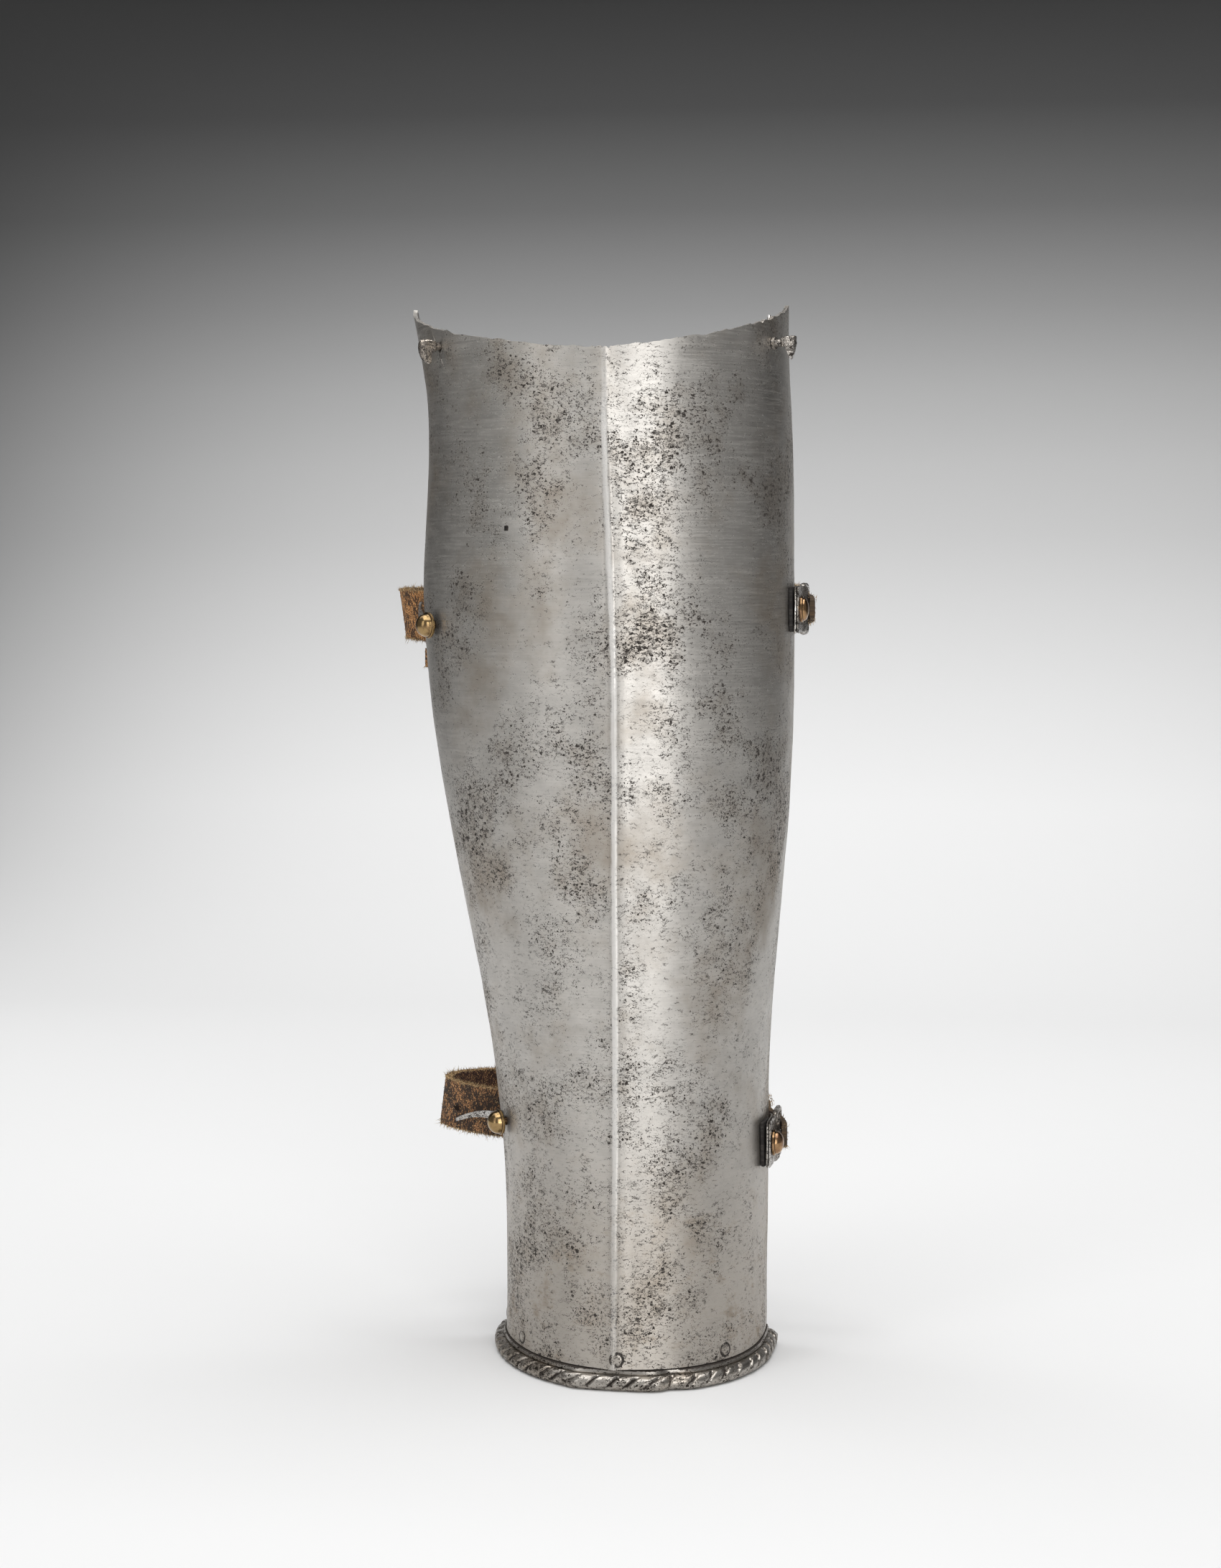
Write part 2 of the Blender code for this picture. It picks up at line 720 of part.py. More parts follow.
def make_straps(holes):
    """The two straps, each with the slot that its buckle's tongue goes through."""
    plans = [
        ("strap_upper", STRAP_HIGH, ROUTE_HIGH, STRAP_BEHIND_HIGH, BUCKLE_HIGH,
         STRAP_ROOT_WIDTH_HIGH, ROOT_LIFT_HIGH),
        ("strap_lower", STRAP_LOW, ROUTE_LOW, STRAP_BEHIND_LOW, BUCKLE_LOW,
         STRAP_WIDTH, ROOT_LIFT_LOW),
    ]
    for name, spot, table, behind, buckle, root, root_lift in plans:
        route = strap_route(spot, table, behind, buckle, root_lift)
        length = route_length(route)
        bm = ribbon(route, strap_widths(root, length), strap_thickness(length))
        strap = add_piece(name, bm, BROWN_LEATHER)
        boolean(strap, holes)
        origin, back, out = stack_axes(buckle)
        slot = bmesh.new()
        first = origin + back * (FRONT_BAR_BACK + FRAME_LONG * 0.06)
        last = origin + back * (FRONT_BAR_BACK + FRAME_LONG * 0.66)
        add_box(slot, first, last, out, BAR_OUT + CUTTER_REACH, BAR_OUT - CUTTER_REACH / 2, TONGUE_SLOT)
        boolean(strap, as_cutter(add_piece("cutter_" + name + "_slot", slot, None)))


def add_box(bm, first, last, out, high, low, tall):
    """A box between two level points, from low to high along out."""
    rings = []
    for point in (first, last):
        ring = []
        for away, up in ((low, -tall / 2), (high, -tall / 2), (high, tall / 2), (low, tall / 2)):
            ring.append(point + out * away + UPRIGHT * up)
        rings.append(ring)
    skin(bm, rings)


def make_strap_rivets():
    """Brass rivets that hold the straps inside the plate."""
    inside = -(PLATE + STRAP_SEAT + STRAP_THICK + GAP)
    seat = GAP + TONGUE_THICK + GAP
    for name, spot in (("upper", STRAP_HIGH), ("lower", STRAP_LOW)):
        origin, axis = place_on_plate(spot)
        bm = turned(dome_profile(seat, DOME_RISE_LEFT, inside), DOME_SIDES, origin, axis)
        add_piece("strap_rivet_" + name, bm, BRASS, 25.0)


def make_strap_tongue(name, spot, table, behind, root_width, tip_width, holes):
    """A sprung steel tongue held under a strap rivet's head, tapering to its tip."""
    z = spot["height"] * HEIGHT
    unit = half_length(spot["along"], z)
    above = GAP + TONGUE_THICK / 2
    points = []
    ups = []
    for travel in (-DOME * 0.8, 0.0, DOME * 0.8, DOME * 1.8):
        along = spot["along"] - travel / unit
        points.append(base_point(along, z) + outward(along, z) * above)
        ups.append(slope_up(along, z))
    values = section(z)
    for across, rear, lift in table:
        x = values["keel_x"] + across * values["left"]
        y = values["keel_y"] + values["depth"] + rear * behind
        points.append(Vector((x, y, z + lift * STRAP_WIDTH)))
        ups.append(UPRIGHT)
    route = smooth_route(points, ups, STRAP_STEP)

    def width_at(share):
        return root_width + (tip_width - root_width) * share ** 1.5

    bm = ribbon(route, width_at, lambda share: TONGUE_THICK)
    tongue = add_piece("strap_tongue_" + name, bm, STEEL)
    boolean(tongue, holes)


def make_strap_tab():
    """A short leather end below the upper strap's root, turned out round the plate's edge."""
    z = STRAP_HIGH["height"] * HEIGHT + ROOT_LIFT_HIGH
    z -= STRAP_ROOT_WIDTH_HIGH / 2 + GAP + STRAP_TAB_TALL / 2
    sunk = PLATE + STRAP_SEAT + STRAP_THICK / 2
    points = []
    for along in (-0.88, -0.92, -0.96):
        points.append(base_point(along, z) - outward(along, z) * sunk)
    points += round_the_edge(z, sunk)
    points.append(points[-1] - Vector((STRAP_TAB_OUT, 0.0, 0.0)))
    ups = [slope_up(-1.0, z)] * len(points)
    route = smooth_route(points, ups, STRAP_STEP * 0.6)
    bm = ribbon(route, lambda share: STRAP_TAB_TALL, lambda share: STRAP_THICK)
    add_piece("strap_tab_upper", bm, BROWN_LEATHER)


def make_buckle(name, spot, holes, slide, dome_rise):
    """Leather tab, folded chape, frame, tongue and rivet of one buckle."""
    origin, back, out = stack_axes(spot)
    z = origin.z
    unit = half_length(spot["along"], z)

    route = []
    steps = 5
    for index in range(steps + 1):
        travel = -TAB_FRONT + (TAB_FRONT + TAB_REAR) * index / steps
        along = spot["along"] + travel / unit
        point = base_point(along, z) + outward(along, z) * (GAP + TAB_THICK / 2)
        route.append((point, slope_up(along, z)))
    bm = ribbon(route, lambda share: STRAP_WIDTH * 0.92, lambda share: TAB_THICK)
    tab = add_piece("buckle_tab_" + name, bm, BLACK_LEATHER)
    boolean(tab, holes)

    bar = origin + back * FRONT_BAR_BACK + out * BAR_OUT
    loop = BAR + GAP + CHAPE_SHEET / 2
    parting = FRONT_BAR_BACK - loop * 1.45
    low = LEAF_LOW + CHAPE_SHEET / 2
    high = LEAF_HIGH + CHAPE_SHEET / 2
    line = [(-CHAPE_FRONT, low), (0.0, low), (parting, low)]
    for degree in range(-125, 126, 25):
        angle = math.radians(degree)
        line.append((FRONT_BAR_BACK + loop * math.cos(angle), BAR_OUT + loop * math.sin(angle)))
    line += [(parting, high), (0.0, high), (-CHAPE_FRONT, high)]
    route = [(origin + back * s + out * n, UPRIGHT) for s, n in line]

    def chape_width(share):
        from_fold = abs(share - 0.5) - CHAPE_NARROW
        near_fold = min(max(1.0 - from_fold / CHAPE_BLEND, 0.0), 1.0)
        return CHAPE_WIDTH + (CHAPE_FOLD_WIDTH - CHAPE_WIDTH) * near_fold

    bm = ribbon(route, chape_width, lambda share: CHAPE_SHEET)
    chape = add_piece("buckle_chape_" + name, bm, DARK_IRON)
    boolean(chape, holes)
    slot = bmesh.new()
    first = origin + back * (FRONT_BAR_BACK - BAR - CHAPE_SHEET * 3)
    last = origin + back * (FRONT_BAR_BACK + BAR + CHAPE_SHEET * 4)
    add_box(slot, first, last, out, BAR_OUT + CUTTER_REACH, BAR_OUT - CUTTER_REACH, TONGUE_SLOT)
    boolean(chape, as_cutter(add_piece("cutter_chape_slot_" + name, slot, None)))

    rings = []
    half_tall, half_long = FRAME_TALL / 2 - BAR, (FRAME_LONG - 2 * BAR) / 2
    middle = bar + back * half_long + UPRIGHT * slide
    corner_steps = 4
    for cs, cz, start in ((1, 1, 0), (-1, 1, 90), (-1, -1, 180), (1, -1, 270)):
        for index in range(corner_steps + 1):
            angle = math.radians(start + 90 * index / corner_steps)
            centre_s = cs * (half_long - FRAME_CORNER)
            centre_z = cz * (half_tall - FRAME_CORNER)
            spoke_s, spoke_z = math.cos(angle), math.sin(angle)
            local = back * (centre_s + FRAME_CORNER * spoke_s) + UPRIGHT * (
                centre_z + FRAME_CORNER * spoke_z)
            spoke = back * spoke_s + UPRIGHT * spoke_z
            ring = []
            for side in range(8):
                phase = math.radians(45 * side + 22.5)
                ring.append(middle + local + spoke * BAR * math.cos(phase)
                            + out * BAR * math.sin(phase))
            rings.append(ring)
    bm = bmesh.new()
    skin(bm, rings, loop=True)
    add_piece("buckle_frame_" + name, bm, DARK_IRON)

    curl = BAR + GAP + TONGUE_THICK * 0.4
    line = []
    for degree in range(-150, 91, 30):
        angle = math.radians(-degree + 180)
        line.append((FRONT_BAR_BACK + curl * math.cos(angle), BAR_OUT + curl * math.sin(angle)))
    rest = BAR_OUT + BAR + GAP + TONGUE_THICK / 2
    rear_bar = FRONT_BAR_BACK + FRAME_LONG - 2 * BAR
    line += [(FRONT_BAR_BACK + TONGUE_BEND, BAR_OUT + curl), (rear_bar - TONGUE_BEND, rest),
             (rear_bar, rest), (rear_bar + BAR, rest)]
    route = [(origin + back * s + out * n, UPRIGHT) for s, n in line]
    bm = ribbon(route, lambda share: TONGUE_WIDTH * (1 - 0.3 * share),
                lambda share: TONGUE_THICK * 0.8)
    add_piece("buckle_tongue_" + name, bm, DARK_IRON)

    inside = -(PLATE + GAP)
    bm = turned(dome_profile(DOME_SEAT, dome_rise, inside), DOME_SIDES, origin, out)
    add_piece("buckle_rivet_" + name, bm, BRASS, 25.0)


def make_turning_pin(name, spot, blade, thick, collar, inside):
    """A pin through the plate with a hooked head that turns about its shank."""
    origin, axis = place_on_plate(spot)
    profile = [(PIN_BURR * 0.8, inside - BURR_THICK), (PIN_BURR, inside - BURR_THICK * 0.6),
               (PIN_BURR, inside), (PIN_SHANK, inside), (PIN_SHANK, GAP)]
    if collar:
        profile += [(PIN_COLLAR, GAP), (PIN_COLLAR, GAP + PIN_COLLAR_THICK),
                    (PIN_SHANK, GAP + PIN_COLLAR_THICK)]
    profile += [(PIN_SHANK, PIN_HEAD * 0.66), (PIN_SHANK * 0.7, PIN_HEAD * 0.76)]
    pin = add_piece(name, turned(profile, 12, origin, axis), STEEL)
    side = UPRIGHT.cross(axis).normalized()
    rise = axis.cross(side).normalized()
    bm = bmesh.new()
    rings = []
    for shift, shrink in ((-0.5, 0.82), (-0.3, 1.0), (0.3, 1.0), (0.5, 0.82)):
        centre_n = sum(point[0] for point in blade) / len(blade)
        centre_z = sum(point[1] for point in blade) / len(blade)
        ring = []
        for n, z in blade:
            away = PIN_HEAD * (centre_n + (n - centre_n) * shrink)
            up = PIN_HEAD * (centre_z + (z - centre_z) * shrink)
            ring.append(origin + axis * away + rise * up + side * thick * shift)
        rings.append(ring)
    skin(bm, rings)
    boolean(pin, as_cutter(add_piece("joined_head_" + name, bm, None)), "UNION")
    return pin


# Hooked heads, drawn in the plane of the shank in shares of PIN_HEAD.
HOOK_RIGHT = [
    # out, up
    (0.38, 0.18), (0.38, -0.15), (0.58, -0.18), (0.62, -0.40), (0.78, -0.69),
    (0.93, -0.38), (1.00, -0.06), (0.98, 0.24), (0.66, 0.27),
]
HOOK_LEFT = [
    # out, up
    (0.20, 0.21), (0.20, -0.20), (0.42, -0.24), (0.49, -0.44), (0.51, -0.67),
    (0.69, -0.62), (0.87, -0.40), (0.95, 0.00), (0.87, 0.29), (0.53, 0.31),
]


def make_keeper(holes):
    """A small steel strip under the right pin's burr, its end above the top edge."""
    origin, axis = place_on_plate(PIN_RIGHT, PLATE + GAP + KEEPER_THICK / 2)
    side = UPRIGHT.cross(axis).normalized()
    rise = axis.cross(side).normalized()
    along = (rise * math.cos(KEEPER_LEAN) + side * math.sin(KEEPER_LEAN)).normalized()
    across = axis.cross(along).normalized()
    bm = bmesh.new()
    rings = []
    for share, narrow in ((-0.33, 0.7), (-0.20, 1.0), (0.45, 1.0), (0.78, 0.62)):
        centre = origin + along * KEEPER_LONG * share
        half = KEEPER_WIDTH / 2 * narrow
        ring = []
        for a, n in ((half, 0.5), (half, -0.5), (-half, -0.5), (-half, 0.5)):
            ring.append(centre + across * a + axis * n * KEEPER_THICK)
        rings.append(ring)
    skin(bm, rings)
    keeper = add_piece("pin_keeper", bm, STEEL)
    boolean(keeper, holes)


clear_scene()
shank_holes = make_shank_holes()
make_plate(shank_holes)
make_flange(shank_holes)
make_flange_rivets()
make_straps(shank_holes)
make_strap_rivets()
make_strap_tongue("lower", STRAP_LOW, TONGUE_ROUTE_LOW, STRAP_BEHIND_LOW, 0.0050, 0.0012,
                  shank_holes)
make_strap_tongue("upper", STRAP_HIGH, TONGUE_ROUTE_HIGH, STRAP_BEHIND_HIGH, 0.0052, 0.0034,
                  shank_holes)
make_strap_tab()
make_buckle("upper", BUCKLE_HIGH, shank_holes, 0.0, DOME_RISE_UPPER_BUCKLE)
make_buckle("lower", BUCKLE_LOW, shank_holes, -0.0006, DOME_RISE_LOWER_BUCKLE)
make_turning_pin("turning_pin_left", PIN_LEFT, HOOK_LEFT, PIN_SHANK * 2.5, False, -(PLATE + GAP))
make_turning_pin("turning_pin_right", PIN_RIGHT, HOOK_RIGHT, PIN_SHANK * 2.1, True,
                 -(PLATE + GAP + KEEPER_THICK + GAP))
make_keeper(shank_holes)
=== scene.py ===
"""The looks of a steel greave: worn plate, roped border, leather straps, brass rivets, buckles.

Metres, +Z up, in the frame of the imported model. The keel of the shin faces -Y.
"""
import json
import math
import random

import bmesh
import bpy
import numpy as np
from mathutils import Matrix, Vector, noise

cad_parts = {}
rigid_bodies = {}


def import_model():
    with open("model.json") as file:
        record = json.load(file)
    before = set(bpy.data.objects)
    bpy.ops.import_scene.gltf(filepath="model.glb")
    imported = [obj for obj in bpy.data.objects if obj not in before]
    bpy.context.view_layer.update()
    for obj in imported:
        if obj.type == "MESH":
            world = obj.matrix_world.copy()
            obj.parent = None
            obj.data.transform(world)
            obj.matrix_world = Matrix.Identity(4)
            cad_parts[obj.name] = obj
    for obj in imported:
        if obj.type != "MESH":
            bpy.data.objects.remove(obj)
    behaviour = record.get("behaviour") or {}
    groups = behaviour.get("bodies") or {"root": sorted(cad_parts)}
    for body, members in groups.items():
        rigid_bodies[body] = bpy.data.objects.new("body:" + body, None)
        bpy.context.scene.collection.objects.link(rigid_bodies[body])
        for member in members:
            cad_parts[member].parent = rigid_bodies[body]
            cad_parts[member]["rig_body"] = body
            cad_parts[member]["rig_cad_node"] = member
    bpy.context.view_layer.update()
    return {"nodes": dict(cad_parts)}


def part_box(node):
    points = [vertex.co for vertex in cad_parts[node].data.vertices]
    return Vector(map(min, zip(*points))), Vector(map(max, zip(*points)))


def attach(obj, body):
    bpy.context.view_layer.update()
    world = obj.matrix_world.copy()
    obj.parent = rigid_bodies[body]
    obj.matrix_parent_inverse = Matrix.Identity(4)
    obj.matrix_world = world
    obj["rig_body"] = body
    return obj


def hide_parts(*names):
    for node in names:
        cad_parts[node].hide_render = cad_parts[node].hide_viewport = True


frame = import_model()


# Camera.
# It stands nearly a metre in front of the shin, a little to its right and at three quarters
# of its height, and looks slightly down.
EYE = (0.1071, -0.8814, 0.270)
LENS_MM = 62.08
LOOK_DOWN = 4.26
LOOK_LEFT = 6.98

bpy.ops.object.select_all(action="DESELECT")
bpy.ops.object.camera_add(
    location=EYE, rotation=(math.radians(90 - LOOK_DOWN), 0, math.radians(LOOK_LEFT)))
camera = bpy.context.object
camera.data.lens = LENS_MM
camera.data.sensor_width = 36
camera.data.clip_start = 0.01
bpy.context.scene.camera = camera


# Floor and backdrop.
# One sheet of pale card lies on the table, bends up behind the greave and rises as a wall.
# Its colour holds painted light: it goes from near white at its foot to dark grey at its top,
# and darkens towards its sides behind the greave, as painted falloff of light.
CARD_WIDE = 7.0
CARD_FRONT = -2.5
CARD_BACK = 1.55
CARD_TALL = 3.4
CARD_BEND = 0.75


def new_material(name, rough, metal=0.0):
    """A Principled material with its roughness and metallic values."""
    material = bpy.data.materials.new(name)
    material.use_nodes = True
    shader = material.node_tree.nodes["Principled BSDF"]
    shader.inputs["Roughness"].default_value = rough
    shader.inputs["Metallic"].default_value = metal
    return material, material.node_tree, shader


def add_node(tree, kind, values=None, **settings):
    """A new node. values maps a socket to a number, a colour or another node's output."""
    made = tree.nodes.new("ShaderNode" + kind)
    for key, value in settings.items():
        setattr(made, key, value)
    for key, value in (values or {}).items():
        if isinstance(value, bpy.types.NodeSocket):
            tree.links.new(value, made.inputs[key])
        else:
            made.inputs[key].default_value = value
    return made


def ease(tree, value, low, high, to_low=0.0, to_high=1.0):
    """A smooth step of a value between two thresholds."""
    values = {"Value": value, "From Min": low, "From Max": high, "To Min": to_low, "To Max": to_high}
    return add_node(tree, "MapRange", values, interpolation_type="SMOOTHSTEP").outputs[0]


def blend_colours(tree, amount, first, second, how="MIX"):
    """Two colours mixed by an amount."""
    values = {0: amount, 6: first, 7: second}
    return add_node(tree, "Mix", values, data_type="RGBA", blend_type=how).outputs[2]


bpy.ops.mesh.primitive_plane_add(size=1, location=(0, 0, 0))
card = bpy.context.object
card.name = "pale_card"
card.scale = (CARD_WIDE, CARD_BACK - CARD_FRONT, 1)
card.location = (0, (CARD_BACK + CARD_FRONT) / 2, 0)
bpy.ops.object.transform_apply(location=True, scale=True)
bpy.ops.object.mode_set(mode="EDIT")
bpy.ops.mesh.select_all(action="DESELECT")
bpy.ops.object.mode_set(mode="OBJECT")
for edge in card.data.edges:
    ends = [card.data.vertices[index].co for index in edge.vertices]
    edge.select = all(end.y > CARD_BACK - 0.01 for end in ends)
bpy.ops.object.mode_set(mode="EDIT")
bpy.ops.mesh.select_mode(type="EDGE")
bpy.ops.mesh.extrude_region_move(TRANSFORM_OT_translate={"value": (0, 0, CARD_TALL)})
bpy.ops.object.mode_set(mode="OBJECT")
bend = card.modifiers.new("bend", "BEVEL")
bend.width = CARD_BEND
bend.segments = 24
bend.limit_method = "ANGLE"
bpy.ops.object.modifier_apply(modifier="bend")
bpy.ops.object.shade_smooth()

paper, tree, shader = new_material("pale_card", 0.9)
place = add_node(tree, "TexCoord").outputs["Object"]
axes = add_node(tree, "SeparateXYZ", {0: place})
height = add_node(tree, "MapRange", {"Value": axes.outputs["Z"], "From Min": 0.0, "From Max": 1.0})
ramp = add_node(tree, "ValToRGB", {0: height.outputs[0]}).color_ramp
WALL_PAINTED_FALLOFF = [
    # height up the wall, grey
    (0.00, 0.82),
    (0.10, 0.80),
    (0.18, 0.70),
    (0.25, 0.60),
    (0.31, 0.51),
    (0.37, 0.45),
    (0.44, 0.355),
    (0.51, 0.24),
    (0.60, 0.115),
    (0.69, 0.046),
    (0.80, 0.016),
]
ramp.elements[0].position = WALL_PAINTED_FALLOFF[0][0]
ramp.elements[1].position = WALL_PAINTED_FALLOFF[-1][0]
for at, _ in WALL_PAINTED_FALLOFF[1:-1]:
    ramp.elements.new(at)
for stop, (_, grey) in zip(ramp.elements, WALL_PAINTED_FALLOFF):
    stop.color = (grey, grey, grey, 1)
# Painted falloff of light: behind the greave the wall darkens towards its sides.
sideways = add_node(tree, "Math", {0: axes.outputs["X"], 1: axes.outputs["X"]}, operation="MULTIPLY")
behind = ease(tree, axes.outputs["Y"], 0.4, 1.2)
falling = add_node(tree, "Math", {0: sideways.outputs[0], 1: behind}, operation="MULTIPLY")
painted_side_falloff = ease(tree, falling.outputs[0], 0.0, 0.9, 0.0, 0.85)
tone = blend_colours(tree, painted_side_falloff, tree.nodes["Color Ramp"].outputs[0], (0.02, 0.02, 0.02, 1))
tree.links.new(tone, shader.inputs["Base Color"])
card.data.materials.append(paper)


# Lights.
# A tall soft box stands to the right of the camera and a dimmer one to its left, a broad
# one hangs over the table and lights the card, and the room is dim.
SOFT_BOXES = [
    # name, place, aim, size across and up, watts
    ("box_right", (0.50, -1.45, 0.62), (0.0, 0.05, 0.18), (0.70, 1.10), 8.2),
    ("box_left", (-0.95, -1.15, 0.62), (0.0, 0.05, 0.18), (0.45, 1.20), 3.2),
    ("box_over", (0.05, -0.10, 1.75), (0.0, 0.15, 0.00), (2.00, 1.60), 29.0),
    ("box_low", (0.30, -0.86, 0.13), (0.0, 0.05, 0.05), (0.24, 0.16), 0.4),
    ("box_wall", (-0.30, 0.45, 1.30), (-0.20, 1.50, 0.20), (2.00, 0.30), 8.0),
]
for name, spot, aim, (across, up), watts in SOFT_BOXES:
    bpy.ops.object.light_add(type="AREA", location=spot)
    box = bpy.context.object
    box.name = name
    box.rotation_euler = (Vector(aim) - Vector(spot)).to_track_quat("-Z", "Y").to_euler()
    box.data.shape = "RECTANGLE"
    box.data.size = across
    box.data.size_y = up
    box.data.energy = watts

room = bpy.data.worlds.new("room")
room.use_nodes = True
room.node_tree.nodes["Background"].inputs[0].default_value = (0.20, 0.20, 0.20, 1)
bpy.context.scene.world = room
bpy.context.scene.view_settings.view_transform = "Standard"


# Shin plate.
# Sheet steel, raised over a stake and bent to a half tube, with a keel drawn along the shin.
# It was planished, filed and brushed across, and later rust pitted it in clusters. Its top
# edge is worn uneven, and a small square hole was punched through it near the calf.
LEG_AXIS = Vector((0.0, 0.055, 0.0))
WAVE = 0.00022              # how far planishing leaves the sheet out of true
TOP_WEAR = 0.0008           # how far wear has eaten into the upper edge
TOP_WEAR_DEEP = 0.012       # it fades out over this much below the edge
KEEL_HIGH = 0.00026         # the crest is drawn out this much further
KEEL_WIDE = 0.0018          # and falls off over this much on each side
CREST_BEND = 0.23           # above this height the crest drifts aside,
CREST_RUN = 0.10            # over this much more height,
CREST_DRIFT = -0.0035       # by this much
STEEL_GREY = (0.545, 0.522, 0.488, 1)
STEEL_BROWN = (0.310, 0.255, 0.195, 1)
PIT_BROWN = (0.038, 0.031, 0.026, 1)


def clamp(value):
    """A value kept between 0 and 1."""
    return min(max(value, 0.0), 1.0)


def crest_at(height):
    """How far aside the keel's crest lies at a height."""
    return CREST_DRIFT * clamp((height - CREST_BEND) / CREST_RUN)


def fresh_copy(node, name):
    """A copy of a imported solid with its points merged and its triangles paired."""
    bpy.ops.object.select_all(action="DESELECT")
    source = frame["nodes"][node]
    source.select_set(True)
    bpy.context.view_layer.objects.active = source
    bpy.ops.object.duplicate()
    piece = bpy.context.object
    piece.name = name
    piece.parent = None
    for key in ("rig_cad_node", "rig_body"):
        del piece[key]
    piece.data.materials.clear()
    bpy.ops.object.mode_set(mode="EDIT")
    bpy.ops.mesh.select_all(action="SELECT")
    bpy.ops.mesh.customdata_custom_splitnormals_clear()
    bpy.ops.mesh.remove_doubles(threshold=0.000004)
    bpy.ops.mesh.tris_convert_to_quads(
        face_threshold=math.radians(30), shape_threshold=math.radians(70))
    bpy.ops.object.mode_set(mode="OBJECT")
    return piece


def crease_edges(piece, angle, amount):
    """Keep the edges that are sharper than an angle crisp under subdivision."""
    bpy.ops.object.mode_set(mode="EDIT")
    bpy.ops.mesh.select_mode(type="EDGE")
    bpy.ops.mesh.select_all(action="DESELECT")
    bpy.ops.mesh.edges_select_sharp(sharpness=math.radians(angle))
    bpy.ops.object.mode_set(mode="OBJECT")
    creases = piece.data.attributes.new("crease_edge", "FLOAT", "EDGE")
    for edge in piece.data.edges:
        if edge.select:
            creases.data[edge.index].value = amount


def subdivide(piece, levels, simple=False):
    """A Subdivision Surface modifier, applied."""
    smooth = piece.modifiers.new("finer", "SUBSURF")
    smooth.subdivision_type = "SIMPLE" if simple else "CATMULL_CLARK"
    smooth.levels = levels
    smooth.render_levels = levels
    bpy.ops.object.modifier_apply(modifier="finer")


def hand_over(piece, body, slot, *nodes):
    """Attach a finished piece to its body and hide the solids that it stands for. Its slot is not
    used.
    """
    bpy.ops.object.select_all(action="DESELECT")
    if nodes:
        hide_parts(*nodes)
    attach(piece, body)


def speckle(tree, place, scale, detail=3.0, rough=0.6):
    """The value of a noise texture."""
    values = {"Vector": place, "Scale": scale, "Detail": detail, "Roughness": rough}
    return add_node(tree, "TexNoise", values).outputs[0]


def stretched(tree, place, scale):
    """The place, squeezed or stretched along each axis."""
    return add_node(tree, "Mapping", {"Vector": place, "Scale": scale}).outputs[0]


def combine(tree, how, first, second):
    """A sum, product or the like of two values."""
    return add_node(tree, "Math", {0: first, 1: second}, operation=how).outputs[0]


def scattered_pits(tree, place, scale, clusters, sparse, dense, widest):
    """Pits of uneven sizes: none where the clusters are below sparse, widest above dense."""
    cells = add_node(tree, "TexVoronoi", {"Vector": place, "Scale": scale})
    chance = add_node(tree, "SeparateColor", {0: cells.outputs["Color"]}).outputs[0]
    width = combine(tree, "MULTIPLY", ease(tree, clusters, sparse, dense, 0.0, widest),
                    ease(tree, chance, 0.15, 1.0, 0.15, 1.0))
    depth = combine(tree, "SUBTRACT", width, cells.outputs["Distance"])
    return ease(tree, depth, -0.05, 0.05)


